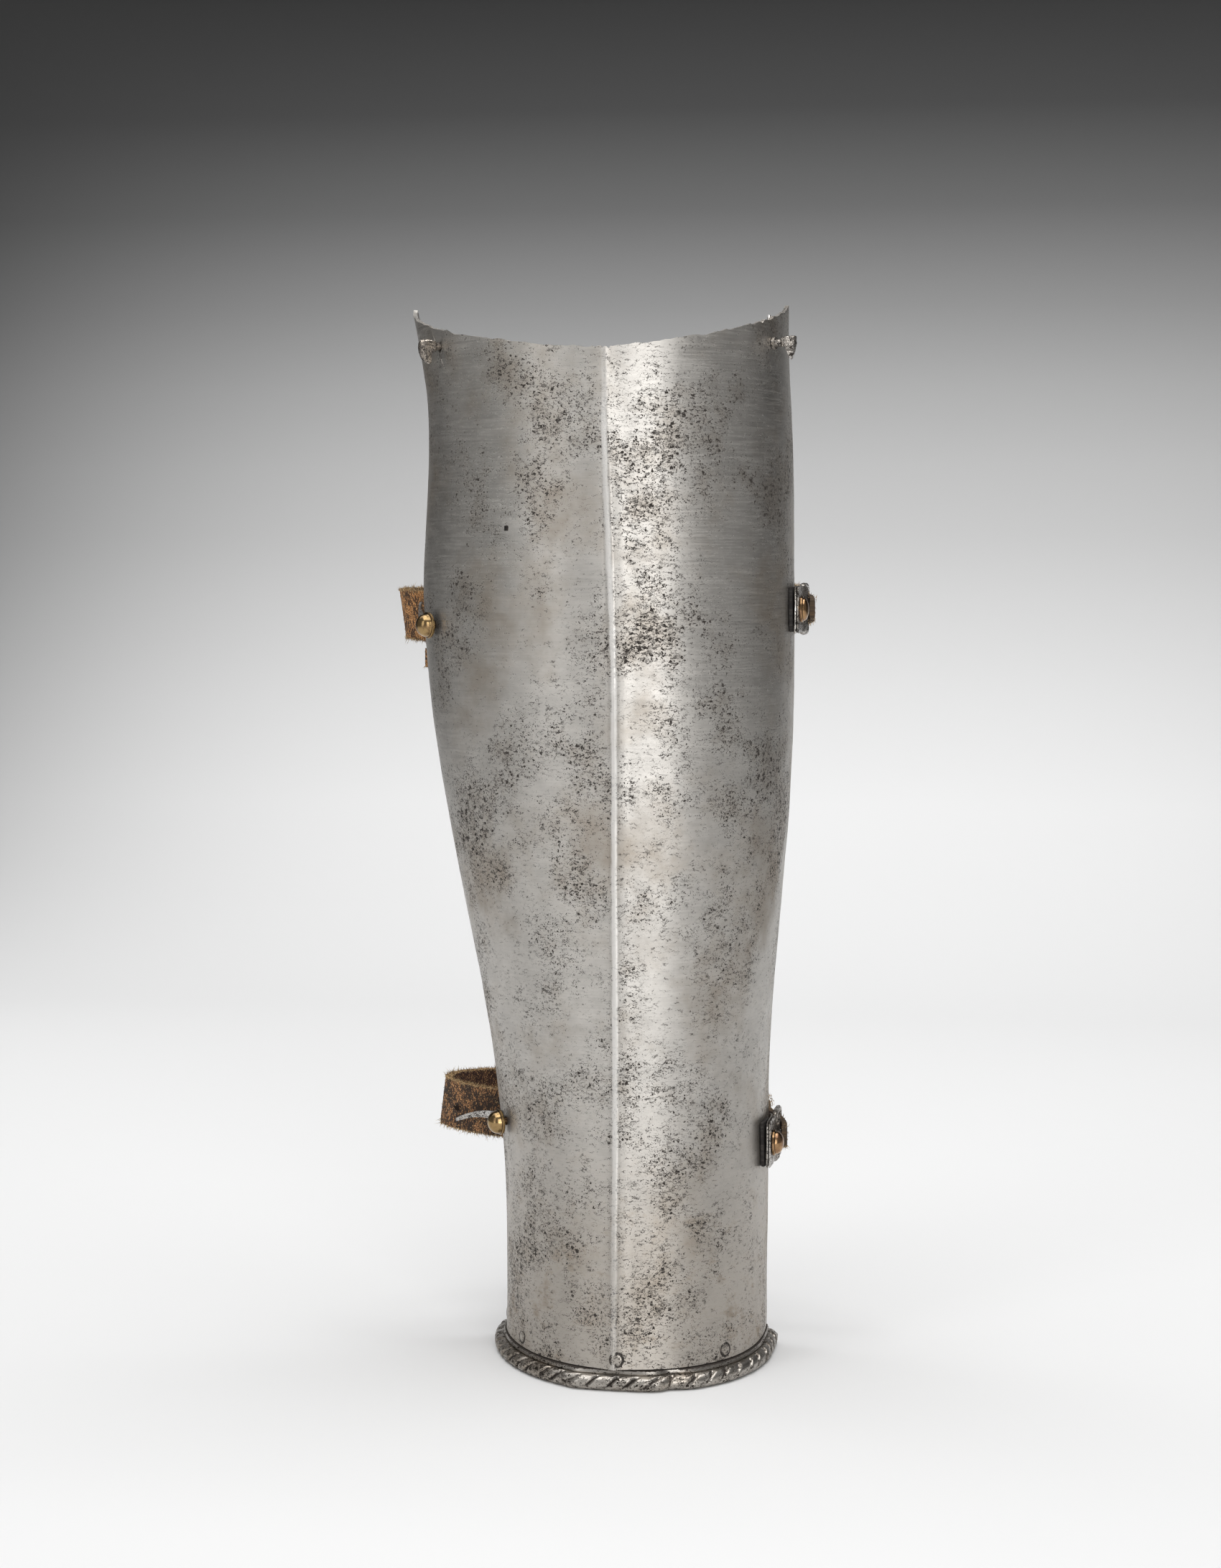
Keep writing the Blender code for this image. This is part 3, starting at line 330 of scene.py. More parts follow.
def worn_steel(name, colour, rough, pitting=0.0, brown=0.5, streaks=1.0):
    """Brushed steel with clustered pits, brown patches and faint planishing bands."""
    material, tree, shader = new_material(name, rough, 1.0)
    place = add_node(tree, "TexCoord").outputs["Object"]
    wander = add_node(tree, "TexNoise", {"Vector": place, "Scale": 1300.0, "Detail": 2.0})
    centred = add_node(tree, "VectorMath", {0: wander.outputs["Color"], 1: (0.5, 0.5, 0.5)},
                       operation="SUBTRACT").outputs[0]
    offset = add_node(tree, "VectorMath", {0: centred, 3: 0.0022}, operation="SCALE").outputs[0]
    ragged = add_node(tree, "VectorMath", {0: place, 1: offset}, operation="ADD").outputs[0]
    level = stretched(tree, ragged, (0.75, 0.75, 1.2))

    clusters = ease(tree, speckle(tree, place, 34.0, 6.0, 0.68), 0.2, 0.8, 0.28, 0.72)
    height = add_node(tree, "SeparateXYZ", {0: place}).outputs["Z"]
    clusters = combine(tree, "ADD", clusters, ease(tree, height, 0.10, 0.02, pitting, pitting + 0.05))
    groups = speckle(tree, stretched(tree, place, (13.0, 13.0, 17.0)), 1.0, 5.0, 0.66)
    groups = combine(tree, "ADD", groups, pitting)
    dots = scattered_pits(tree, level, 1500.0, clusters, 0.34, 0.60, 0.50)
    pocks = scattered_pits(tree, level, 640.0, clusters, 0.40, 0.66, 0.46)
    holes = scattered_pits(tree, level, 230.0, groups, 0.46, 0.74, 0.30)
    dashes = speckle(tree, stretched(tree, ragged, (420.0, 420.0, 2200.0)), 1.0, 3.0, 0.65)
    dashes = combine(tree, "ADD", dashes, combine(tree, "MULTIPLY", clusters, 0.35))
    scars = combine(tree, "MULTIPLY", ease(tree, dashes, 0.735, 0.83), 0.80)
    pits = combine(tree, "MAXIMUM", combine(tree, "MAXIMUM", dots, pocks),
                   combine(tree, "MAXIMUM", holes, scars))

    brushed = speckle(tree, stretched(tree, place, (60.0, 60.0, 2100.0)), 1.0, 3.0, 0.7)
    bands = speckle(tree, stretched(tree, place, (260.0, 260.0, 11.0)), 1.0, 2.0, 0.5)
    patches = speckle(tree, place, 19.0, 5.0, 0.66)
    clouds = speckle(tree, stretched(tree, place, (90.0, 90.0, 150.0)), 1.0, 5.0, 0.7)

    lines = combine(tree, "MULTIPLY", ease(tree, brushed, 0.30, 0.70, 0.93, 1.04),
                    ease(tree, clouds, 0.30, 0.70, 0.90, 1.06))
    grey = add_node(tree, "CombineColor", {0: lines, 1: lines, 2: lines}).outputs[0]
    metal = blend_colours(tree, 1.0, colour, grey, "MULTIPLY")
    foot = ease(tree, height, 0.11, 0.02)
    browning = combine(tree, "MULTIPLY", ease(tree, patches, 0.44, 0.72), brown)
    spreading = combine(tree, "MULTIPLY", ease(tree, clouds, 0.50, 0.74), brown)
    browning = combine(tree, "ADD", browning, combine(tree, "MULTIPLY", foot, spreading))
    metal = blend_colours(tree, browning, metal, STEEL_BROWN)
    around = combine(tree, "MULTIPLY", ease(tree, clusters, 0.50, 0.72), 0.45)
    metal = blend_colours(tree, around, metal, STEEL_BROWN)
    metal = blend_colours(tree, combine(tree, "MULTIPLY", foot, 0.35), metal, STEEL_BROWN)
    surface = blend_colours(tree, pits, metal, PIT_BROWN)
    tree.links.new(surface, shader.inputs["Base Color"])

    gloss = combine(tree, "ADD", ease(tree, brushed, 0.3, 0.7, -0.05, 0.05), rough)
    gloss = combine(tree, "ADD", gloss, combine(tree, "MULTIPLY", browning, 0.10))
    tree.links.new(combine(tree, "MAXIMUM", gloss, combine(tree, "MULTIPLY", pits, 0.8)),
                   shader.inputs["Roughness"])
    tree.links.new(ease(tree, pits, 0.0, 1.0, 1.0, 0.3), shader.inputs["Metallic"])

    relief = combine(tree, "MULTIPLY", pits, -1.0)
    relief = combine(tree, "ADD", relief, combine(tree, "MULTIPLY", brushed, 0.12))
    relief = combine(tree, "ADD", relief, combine(tree, "MULTIPLY", clouds, 0.18))
    relief = combine(tree, "ADD", relief, combine(tree, "MULTIPLY", bands, 0.8 * streaks))
    bump = add_node(tree, "Bump", {"Height": relief, "Strength": 0.5, "Distance": 0.00012})
    tree.links.new(bump.outputs[0], shader.inputs["Normal"])
    return material


def add_layer(tree, amount, colour, cover, how, rough):
    """A layer over a finished steel: it covers the colour and changes the roughness."""
    inputs = tree.nodes["Principled BSDF"].inputs
    skin, shine = (inputs[name].links[0].from_socket for name in ("Base Color", "Roughness"))
    covering = combine(tree, "MULTIPLY", amount, cover)
    tree.links.new(blend_colours(tree, covering, skin, colour), inputs["Base Color"])
    tree.links.new(combine(tree, how, shine, combine(tree, "MULTIPLY", amount, rough)),
                   inputs["Roughness"])


shin = fresh_copy("greave_plate", "shin_plate")
rim_points = {}
for face in shin.data.polygons:
    if face.normal.z > 0.85 and face.center.z > 0.33:
        away = face.center - LEG_AXIS
        rim_points[math.atan2(away.x, -away.y)] = face.center.z
rim_turns = sorted(rim_points)
rim_heights = [rim_points[turn] for turn in rim_turns]
crease_edges(shin, 40, 1.0)

# The crest is kept crisp too, a little softer above the calf.
creases = shin.data.attributes["crease_edge"].data
for edge in shin.data.edges:
    first, second = (shin.data.vertices[index].co for index in edge.vertices)
    middle = (first + second) / 2
    upright = abs(first.z - second.z) > 0.004
    if upright and abs(middle.x - crest_at(middle.z)) < 0.0016 and middle.y < 0.012:
        creases[edge.index].value = 0.7 if middle.z < 0.30 else 0.5
subdivide(shin, 2)

# The hammer left the sheet slightly wavy, and wear has nicked its upper edge.
for vertex in shin.data.vertices:
    away = vertex.co - LEG_AXIS
    out = Vector((away.x, away.y, 0.0)).normalized()
    slow = noise.noise(vertex.co * 38.0) + 0.5 * noise.noise(vertex.co * 95.0)
    turn = math.atan2(away.x, -away.y)
    top = np.interp(turn, rim_turns, rim_heights)
    near_top = clamp(1.0 - (top - vertex.co.z) / TOP_WEAR_DEEP)
    chips = noise.noise(Vector((turn * 7.0, 0.0, 3.0))) + 0.9 * noise.noise(
        Vector((turn * 33.0, 5.0, 1.0))) + 0.9 * noise.noise(Vector((turn * 88.0, 2.0, 6.0)))
    vertex.co += out * slow * WAVE
    if vertex.co.y < 0.02:
        from_crest = abs(vertex.co.x - crest_at(vertex.co.z))
        vertex.co += out * KEEL_HIGH * max(1.0 - from_crest / KEEL_WIDE, 0.0)
    vertex.co.z += (chips - 0.4) * TOP_WEAR * near_top ** 2
bpy.ops.object.shade_smooth_by_angle(angle=math.radians(35))
plate_steel = worn_steel("plate_steel", STEEL_GREY, 0.43, brown=0.75)

# The keel's crest is rubbed bright: partly a real burnish, partly a painted highlight line, and less
# so at its two ends.
tree = plate_steel.node_tree
place = add_node(tree, "TexCoord").outputs["Object"]
where = add_node(tree, "SeparateXYZ", {0: place}).outputs
crest = ease(tree, where["Z"], CREST_BEND, CREST_BEND + CREST_RUN, 0.0, CREST_DRIFT)
aside = combine(tree, "ABSOLUTE", combine(tree, "SUBTRACT", where["X"], crest), 0.0)
broken = speckle(tree, stretched(tree, place, (500.0, 500.0, 160.0)), 1.0)
aside = combine(tree, "ADD", aside, ease(tree, broken, 0.3, 0.7, -0.0002, 0.0002))
# This band is the crest's burnish together with its painted highlight.
rubbed = ease(tree, aside, 0.0014, 0.0005)
for share in (ease(tree, where["Y"], 0.03, 0.02),
              ease(tree, where["Z"], 0.345, 0.315, 0.35, 1.0),
              ease(tree, where["Z"], 0.02, 0.11, 0.35, 1.0)):
    rubbed = combine(tree, "MULTIPLY", rubbed, share)
# The pale colour laid over the band is partly burnish and partly painted highlight.
add_layer(tree, rubbed, (0.86, 0.84, 0.81, 1), 0.72, "ADD", 0.08)
shin.data.materials.append(plate_steel)
hand_over(shin, "greave", "plate_steel", "greave_plate")


# Block in the square hole.
# A near-black block fills the small square hole near the calf, its face below the face of the plate.
# It is painted shade that stands in for the dark inside of the hole, in two mottled near-black tones.
HOLE_FILL = 0.0026
HOLE_FILL_DEEP = 0.0003          # its face lies this far out from the middle of the sheet
HOLE_PLACE = Vector((-0.0369, 0.0124, 0.2880))
HOLE_INWARD = Vector((0.48, 0.88, 0.0)).normalized()


def mottled(name, rough, scale, low, high, dark, light, detail=3.0):
    """A dull material in spots of two colours."""
    material, tree, shader = new_material(name, rough)
    spots = speckle(tree, add_node(tree, "TexCoord").outputs["Object"], scale, detail)
    tree.links.new(blend_colours(tree, ease(tree, spots, low, high), dark, light),
                   shader.inputs["Base Color"])
    return material


bpy.ops.object.select_all(action="DESELECT")
bpy.ops.mesh.primitive_cube_add(size=HOLE_FILL, location=(0, 0, 0))
shade_block = bpy.context.object
shade_block.name = "hole_shade_block"
bpy.ops.object.mode_set(mode="EDIT")
bpy.ops.mesh.select_all(action="SELECT")
bpy.ops.mesh.bevel(offset=0.0004, segments=2, affect="EDGES")
bpy.ops.object.mode_set(mode="OBJECT")
for vertex in shade_block.data.vertices:
    vertex.co += vertex.co * 0.15 * noise.noise(vertex.co * 900.0)
shade_block.rotation_euler = (0.0, 0.0, math.atan2(HOLE_INWARD.y, HOLE_INWARD.x))
shade_block.location = HOLE_PLACE + HOLE_INWARD * (HOLE_FILL / 2 - HOLE_FILL_DEEP)
bpy.ops.object.transform_apply(location=True, rotation=True)
# The block's near-black colour is painted shade for the inside of the hole.
shade_block.data.materials.append(mottled(
    "hole_painted_shade", 0.9, 1500.0, 0.45, 0.65, (0.010, 0.009, 0.008, 1), (0.045, 0.030, 0.022, 1)))
hand_over(shade_block, "greave", "plate_steel")


# Roped border.
# A strip of steel is riveted inside the lower edge of the plate, turned out under it and
# rolled over a wire. The roll is filed with slanting cuts, so that it looks like a rope.
ROLL = 0.0026               # the roll's radius,
ROLL_OUT = 0.0015           # how far its middle stands out from the plate's face,
ROLL_RISE = 0.00248         # and how far above the table
STRIP = 0.0012
STRIP_IN = 0.0017           # from the plate's outer face to the strip's
STRIP_TOP = 0.0148
PLATE_EDGE = 0.0067
CUT_PITCH = 0.0064
CUT_DEPTH = 0.0013
CUT_LEAN = 0.0056           # how far a cut runs along the border, from its top to its foot
CUT_STEEP = 0.00045         # the widths of its steep flank and its slanting one
CUT_SLANT = 0.00095
CUT_REACH = 0.004           # past this far from a cut, the roll is whole
FILED = 0.00006             # how uneven the file left the roll
STATION = 0.0004            # from one cross section to the next


def smooth_line(points, spacing):
    """Evenly spaced points on a smooth curve through rows of numbers, place first."""
    rows = [np.array(point, dtype=float) for point in points]
    rows = [rows[0] * 2 - rows[1]] + rows + [rows[-1] * 2 - rows[-2]]
    dense = []
    for p0, p1, p2, p3 in zip(rows, rows[1:], rows[2:], rows[3:]):
        for part in range(12):
            t = part / 12
            dense.append(0.5 * (2 * p1 + (p2 - p0) * t + (2 * p0 - 5 * p1 + 4 * p2 - p3) * t * t
                                + (3 * p1 - p0 - 3 * p2 + p3) * t ** 3))
    dense.append(rows[-2])
    dense = np.array(dense)
    gone = np.concatenate(([0.0], np.cumsum(np.linalg.norm(np.diff(dense[:, :3], axis=0), axis=1))))
    wanted = np.linspace(0.0, gone[-1], max(2, round(gone[-1] / spacing)) + 1)
    return np.array([np.interp(wanted, gone, dense[:, column]) for column in range(dense.shape[1])]).T


def face_outward():
    """Turn the faces of the active piece outwards."""
    bpy.ops.object.mode_set(mode="EDIT")
    bpy.ops.mesh.select_all(action="SELECT")
    bpy.ops.mesh.normals_make_consistent(inside=False)
    bpy.ops.object.mode_set(mode="OBJECT")


# The border follows the outer line of the plate's lower edge.
low_edge = {}
plate_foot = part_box("greave_plate")[0][2]
for vertex in frame["nodes"]["greave_plate"].data.vertices:
    if vertex.co.z < plate_foot + 0.0001 and abs(vertex.co.x) > 0.005:
        away = vertex.co - LEG_AXIS
        low_edge[round(math.atan2(away.x, -away.y), 4)] = vertex.co.copy()
turns = sorted(low_edge)
foot_line = []
for first, second in zip(turns[0::2], turns[1::2]):
    pair = sorted((low_edge[first], low_edge[second]), key=lambda co: (co - LEG_AXIS).xy.length)
    foot_line.append(pair[1].xy)
foot_line = smooth_line([(*point, 0.0) for point in foot_line], STATION)

# Its cross section, as distances out from that line and up from the table, starts at the
# strip's upper edge, comes down its outer face and goes round the roll.
section = [(-STRIP_IN - STRIP, STRIP_TOP), (-STRIP_IN, STRIP_TOP), (-STRIP_IN, PLATE_EDGE)]
section += [(0.0003, PLATE_EDGE - 0.0001), (0.0005, 0.0060), (0.0008, 0.0055)]
roll_start = len(section)
roll_angles = list(range(112, -66, -5))
for angle in roll_angles:
    turn = math.radians(angle)
    section.append((ROLL_OUT + ROLL * math.cos(turn), max(ROLL_RISE + ROLL * math.sin(turn), 0.0)))
section += [(ROLL_OUT + ROLL * 0.30, 0.0), (ROLL_OUT - ROLL * 0.45, 0.0)]
section += [(-STRIP_IN, ROLL * 0.55), (-STRIP_IN - STRIP, ROLL * 1.35), section[0]]

chance = random.Random(4)
run = (len(foot_line) - 1) * STATION
cuts = []
for number in range(round(run / CUT_PITCH) + 1):
    cuts.append({
        "at": (number + 0.35) * CUT_PITCH + chance.uniform(-0.0006, 0.0006),
        "deep": CUT_DEPTH * chance.uniform(0.6, 1.0),
        "wide": chance.uniform(0.8, 1.25),
        "lean": CUT_LEAN * chance.uniform(0.85, 1.2),
        "top": chance.uniform(88, 104),
        "foot": chance.uniform(-58, -40),
    })

bpy.ops.mesh.primitive_grid_add(
    x_subdivisions=len(section) - 1, y_subdivisions=len(foot_line) - 1, size=1)
border = bpy.context.object
border.name = "roped_border"
# Each point's share of painted shade, in the cuts and along the seam.
painted_cut_shade = border.data.attributes.new("painted_cut_shade", "FLOAT", "POINT")
painted_cut_shade_values = [0.0] * len(border.data.vertices)
columns = len(section)
for index, vertex in enumerate(border.data.vertices):
    station, column = divmod(index, columns)
    before = foot_line[max(station - 2, 0)]
    after = foot_line[min(station + 2, len(foot_line) - 1)]
    ahead = Vector(after[:2]) - Vector(before[:2])
    outward = Vector((ahead.y, -ahead.x)).normalized()
    out, up = section[column]
    if roll_start <= column < roll_start + len(roll_angles):
        angle = roll_angles[column - roll_start]
        travel = station * STATION
        turn = math.radians(angle)
        cut_in = 0.0
        for cut in cuts:
            gap = travel - cut["at"] - cut["lean"] * (angle - 30) / 170
            if abs(gap) < CUT_REACH:
                side = CUT_STEEP if gap < 0 else CUT_SLANT
                window = clamp((cut["top"] - angle) / 30) * clamp((angle - cut["foot"]) / 25)
                cut_in = max(cut_in, cut["deep"] * window * math.exp(-(gap / side / cut["wide"]) ** 2))
        rough = noise.noise(Vector((travel * 500, angle * 0.05, 0.0))) * FILED
        out -= (cut_in + rough) * math.cos(turn)
        up = max(up - (cut_in + rough) * math.sin(turn), 0.0)
        # Painted shade, as dark as the cut is deep.
        painted_cut_shade_values[index] = cut_in / CUT_DEPTH
    elif column in (2, 3):
        # Painted shade along the seam with the plate.
        painted_cut_shade_values[index] = 0.9
    spot = foot_line[station]
    vertex.co = (spot[0] + outward.x * out, spot[1] + outward.y * out, up)
painted_cut_shade.data.foreach_set("value", painted_cut_shade_values)
bpy.ops.object.mode_set(mode="EDIT")
bpy.ops.mesh.select_all(action="SELECT")
bpy.ops.mesh.remove_doubles(threshold=0.00001)
bpy.ops.mesh.fill_holes(sides=0)
bpy.ops.object.mode_set(mode="OBJECT")
face_outward()
bpy.ops.object.shade_smooth_by_angle(angle=math.radians(50))
border_steel = worn_steel("border_steel", (0.52, 0.505, 0.48, 1), 0.32, pitting=0.02, streaks=0.2)

# Painted shade darkens the cuts, the deeper the darker, and the seam with the plate, broken up by grit
# noise.
tree = border_steel.node_tree
cut_shade_mask = add_node(tree, "Attribute", attribute_name="painted_cut_shade").outputs["Fac"]
grit = speckle(tree, add_node(tree, "TexCoord").outputs["Object"], 900.0)
cut_shade_mask = ease(tree, combine(tree, "ADD", cut_shade_mask, ease(tree, grit, 0.3, 0.7, -0.2, 0.2)), 0.28, 0.62)
add_layer(tree, cut_shade_mask, (0.040, 0.031, 0.025, 1), 1.0, "MAXIMUM", 0.8)
dulled = ease(tree, cut_shade_mask, 0.0, 1.0, 1.0, 0.2)
tree.links.new(dulled, tree.nodes["Principled BSDF"].inputs["Metallic"])
border.data.materials.append(border_steel)
hand_over(border, "greave", "border_steel", "ankle_flange")


# Small metal pieces.
# The buckles, their folded plates and tongues, the pins and the keeper are forged, filed by
# hand and worn. Each starts from its plain solid and is rounded and roughened.
KEEPER_DRAWN = 0.0020       # the keeper's end is hammered out this much longer
ROOT_FROM = 0.0045          # a tongue narrows from this far ahead of its rivet's middle,
ROOT_OVER = 0.003           # over this much

bright_iron = worn_steel("bright_iron", (0.58, 0.565, 0.545, 1), 0.22, pitting=0.15, streaks=0.1)
tongue_steel = worn_steel("tongue_steel", (0.62, 0.61, 0.60, 1), 0.26, pitting=0.02, streaks=0.1)
pin_steel = worn_steel("pin_steel", (0.33, 0.30, 0.27, 1), 0.17, pitting=0.14, streaks=0.1)


def forge(node, body, slot, material, levels, rough, scale, crease=0.6):
    """A rounded and roughened copy of a small metal solid."""
    piece = fresh_copy(node, node + "_worn")
    crease_edges(piece, 50, crease)
    subdivide(piece, levels)
    for vertex in piece.data.vertices:
        lumps = noise.noise(vertex.co * scale) + 0.6 * noise.noise(vertex.co * scale * 2.7)
        vertex.co += vertex.normal * lumps * rough
    bpy.ops.object.shade_smooth_by_angle(angle=math.radians(48))
    piece.data.materials.append(material)
    hand_over(piece, body, slot, node)
    return piece


def rivet_axis(node):
    """The head's top and the outward direction of a rivet, from its solid."""
    points = np.array([vertex.co for vertex in frame["nodes"][node].data.vertices])
    middle = (points.max(0) + points.min(0)) / 2
    spread, directions = np.linalg.eigh(np.cov((points - middle).T))
    odd = 0 if abs(spread[1] - spread[0]) > abs(spread[2] - spread[1]) else 2
    axis = Vector(directions[:, odd])
    if axis.dot(Vector(middle) - LEG_AXIS.xy.to_3d() - Vector((0, 0, middle[2]))) < 0:
        axis.negate()
    heights = (points - middle) @ np.array(axis)
    foot, top = heights.min(), heights.max()
    ring = points[heights > top - 0.0004]
    return Vector(ring.mean(0)), axis, top - foot


def narrow_root(tongue, rivet):
    """Draw a tongue's root in under its rivet's head."""
    top, axis, length = rivet_axis(rivet)
    middle = sum((vertex.co for vertex in tongue.data.vertices), Vector()) / len(tongue.data.vertices)
    ahead = (middle - top) - axis * (middle - top).dot(axis)
    ahead.normalize()
    for vertex in tongue.data.vertices:
        away = vertex.co - top
        flat = away - axis * away.dot(axis)
        reach = flat.dot(ahead)
        share = clamp((ROOT_FROM - reach) / ROOT_OVER)
        aside = flat - ahead * reach
        vertex.co -= aside * 0.5 * share
        if reach < 0:
            vertex.co -= ahead * reach * 0.8


for side in ("upper", "lower"):
    forge("buckle_chape_" + side, "greave", "buckle_iron", bright_iron, 2, 0.00024, 1100.0)
    forge("buckle_frame_" + side, "greave", "buckle_iron", bright_iron, 2, 0.00016, 900.0)
    forge("buckle_tongue_" + side, "greave", "buckle_iron", bright_iron, 2, 0.00008, 700.0)
    tongue = forge("strap_tongue_" + side, "greave", "tongue_steel", tongue_steel, 2, 0.00014, 1100.0)
    narrow_root(tongue, "strap_rivet_" + side)
forge("turning_pin_left", "pin_left", "pin_steel", pin_steel, 3, 0.00014, 900.0, 0.85)
forge("turning_pin_right", "pin_right", "pin_steel", bright_iron, 3, 0.00014, 900.0, 0.85)
keeper = forge("pin_keeper", "greave", "pin_steel", tongue_steel, 2, 0.00008, 700.0)
keeper_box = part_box("pin_keeper")
for vertex in keeper.data.vertices:
    share = (vertex.co.z - keeper_box[0][2]) / (keeper_box[1][2] - keeper_box[0][2])
    vertex.co.z += KEEPER_DRAWN * max(share, 0.0) ** 2


# Rivets.
# Brass rivets with stepped, domed heads hold the straps and the buckles, and flush steel
# ones hold the border. The brass is polished on its crowns and tarnished in its steps.
SHANK = 0.0014              # the radii of a shank and a brass head,
HEAD = 0.0045
HEAD_RIM = 0.0008           # and the height of its rim
HEAD_ROUND = 0.00015        # how far the rim's two corners are rounded
HEAD_STEP = 0.89            # the dome's radius, as a share of the rim's
DOME_FOOT = 0.00035         # how far above the rim the dome starts
CROWN_LEFT = 0.0047         # how high the heads are
CROWN_UPPER_BUCKLE = 0.0029
CROWN_LOWER_BUCKLE = 0.0038
HEAD_LEAN = 8.0             # degrees that the two left heads have been knocked forward
HEAD_LIFT = 0.0005          # and how far they stand off the plate
RUST_FROM = 0.00175         # a flush rivet is rusted past this far from its middle


def turned_head(name, rings, top, axis, sides=48):
    """A head raised from a circle: each ring is a radius and a height under its crown."""
    bpy.ops.object.select_all(action="DESELECT")
    bpy.ops.mesh.primitive_circle_add(
        vertices=sides, radius=rings[0][0], fill_type="NGON", location=(0, 0, rings[0][1]))
    head = bpy.context.object
    head.name = name
    bpy.ops.object.transform_apply(location=True)
    bpy.ops.object.mode_set(mode="EDIT")
    bpy.ops.mesh.select_mode(type="FACE")
    bpy.ops.mesh.select_all(action="SELECT")
    for (radius, height), (wide, high) in zip(rings, rings[1:]):
        bpy.ops.mesh.extrude_region_move(TRANSFORM_OT_translate={"value": (0, 0, high - height)})
        share = wide / radius
        bpy.ops.transform.resize(value=(share, share, 1))
    bpy.ops.object.mode_set(mode="OBJECT")
    face_outward()
    head.location = top
    head.rotation_mode = "QUATERNION"
    head.rotation_quaternion = axis.to_track_quat("Z", "Y")
    bpy.ops.object.transform_apply(location=True, rotation=True)
    return head


def dome_rings(rise):
    """The stepped, domed head from its shank up, as radius and height under its crown."""
    rings = [(SHANK, -rise - 0.0016), (SHANK, -rise), (HEAD * 0.97, -rise),
             (HEAD, HEAD_ROUND - rise), (HEAD, HEAD_RIM - rise),
             (HEAD * 0.97, HEAD_RIM + HEAD_ROUND - rise),
             (HEAD * 0.905, HEAD_RIM + 0.00020 - rise),
             (HEAD * HEAD_STEP, HEAD_RIM + DOME_FOOT - rise)]
    bulge = rise - HEAD_RIM - DOME_FOOT
    for angle in (12, 24, 36, 48, 60, 70, 79, 85):
        turn = math.radians(angle)
        rings.append((HEAD * HEAD_STEP * math.cos(turn), bulge * (math.sin(turn) - 1.0)))
    return rings


def old_brass(name, colour, tarnish):
    """Polished brass, browned where it isn't rubbed."""
    material, tree, shader = new_material(name, 0.2, 1.0)
    place = add_node(tree, "TexCoord").outputs["Object"]
    clouds = speckle(tree, place, 330.0, 3.0, 0.6)
    flecks = speckle(tree, place, 1800.0, 3.0, 0.7)
    stain = combine(tree, "MULTIPLY", ease(tree, clouds, 0.42, 0.68), 0.7)
    metal = blend_colours(tree, stain, colour, tarnish)
    metal = blend_colours(tree, ease(tree, flecks, 0.66, 0.74), metal, (0.07, 0.045, 0.025, 1))
    tree.links.new(metal, shader.inputs["Base Color"])
    tree.links.new(ease(tree, clouds, 0.3, 0.8, 0.16, 0.34), shader.inputs["Roughness"])
    bump = add_node(tree, "Bump", {"Height": flecks, "Strength": 0.15, "Distance": 0.0001})
    tree.links.new(bump.outputs[0], shader.inputs["Normal"])
    return material


yellow_brass = old_brass("yellow_brass", (0.36, 0.245, 0.115, 1), (0.15, 0.090, 0.048, 1))
red_brass = old_brass("red_brass", (0.38, 0.235, 0.12, 1), (0.20, 0.105, 0.07, 1))
step_tarnish = old_brass("step_tarnish", (0.10, 0.06, 0.03, 1), (0.045, 0.028, 0.018, 1))
BRASS_HEADS = [
    ("strap_rivet_upper", CROWN_LEFT, yellow_brass),
    ("strap_rivet_lower", CROWN_LEFT, yellow_brass),
    ("buckle_rivet_upper", CROWN_UPPER_BUCKLE, red_brass),
    ("buckle_rivet_lower", CROWN_LOWER_BUCKLE, red_brass),
]


def lean_head(head, top, axis, rise):
    """Tip a head towards the front on its shank."""
    sideways = axis.cross(Vector((0.0, -1.0, 0.0))).normalized()
    bend = Matrix.Rotation(math.radians(HEAD_LEAN), 3, sideways)
    foot = top - axis * rise
    for vertex in head.data.vertices:
        if (vertex.co - top).dot(axis) > -rise - 0.0003:
            vertex.co = foot + bend @ (vertex.co - foot) + axis * HEAD_LIFT


for node, rise, brass in BRASS_HEADS:
    top, axis, length = rivet_axis(node)
    head = turned_head(node + "_head", dome_rings(rise), top, axis)
    burr = [(SHANK, -length + 0.0020), (SHANK, -length + 0.0012), (0.0026, -length + 0.0009),
            (0.0027, -length + 0.0005), (0.0022, -length + 0.0001), (0.0012, -length)]
    tail = turned_head(node + "_burr", burr, top, axis, 24)
    bpy.ops.object.select_all(action="DESELECT")
    head.select_set(True)
    tail.select_set(True)
    bpy.context.view_layer.objects.active = head
    bpy.ops.object.join()
    for vertex in head.data.vertices:
        vertex.co += vertex.normal * noise.noise(vertex.co * 300.0) * 0.00004
    bpy.ops.object.shade_smooth_by_angle(angle=math.radians(40))
    head.data.materials.append(brass)
    head.data.materials.append(step_tarnish)
    for face in head.data.polygons:
        height = (face.center - top).dot(axis) + rise
        away = (face.center - top).cross(axis).length
        in_step = HEAD * 0.885 < away < HEAD * 0.975 and height > HEAD_RIM * 0.9
        face.material_index = 1 if in_step or height < 0.0001 else 0
    if rise == CROWN_LEFT:
        lean_head(head, top, axis, rise)
    hand_over(head, "greave", "rivet_brass", node)

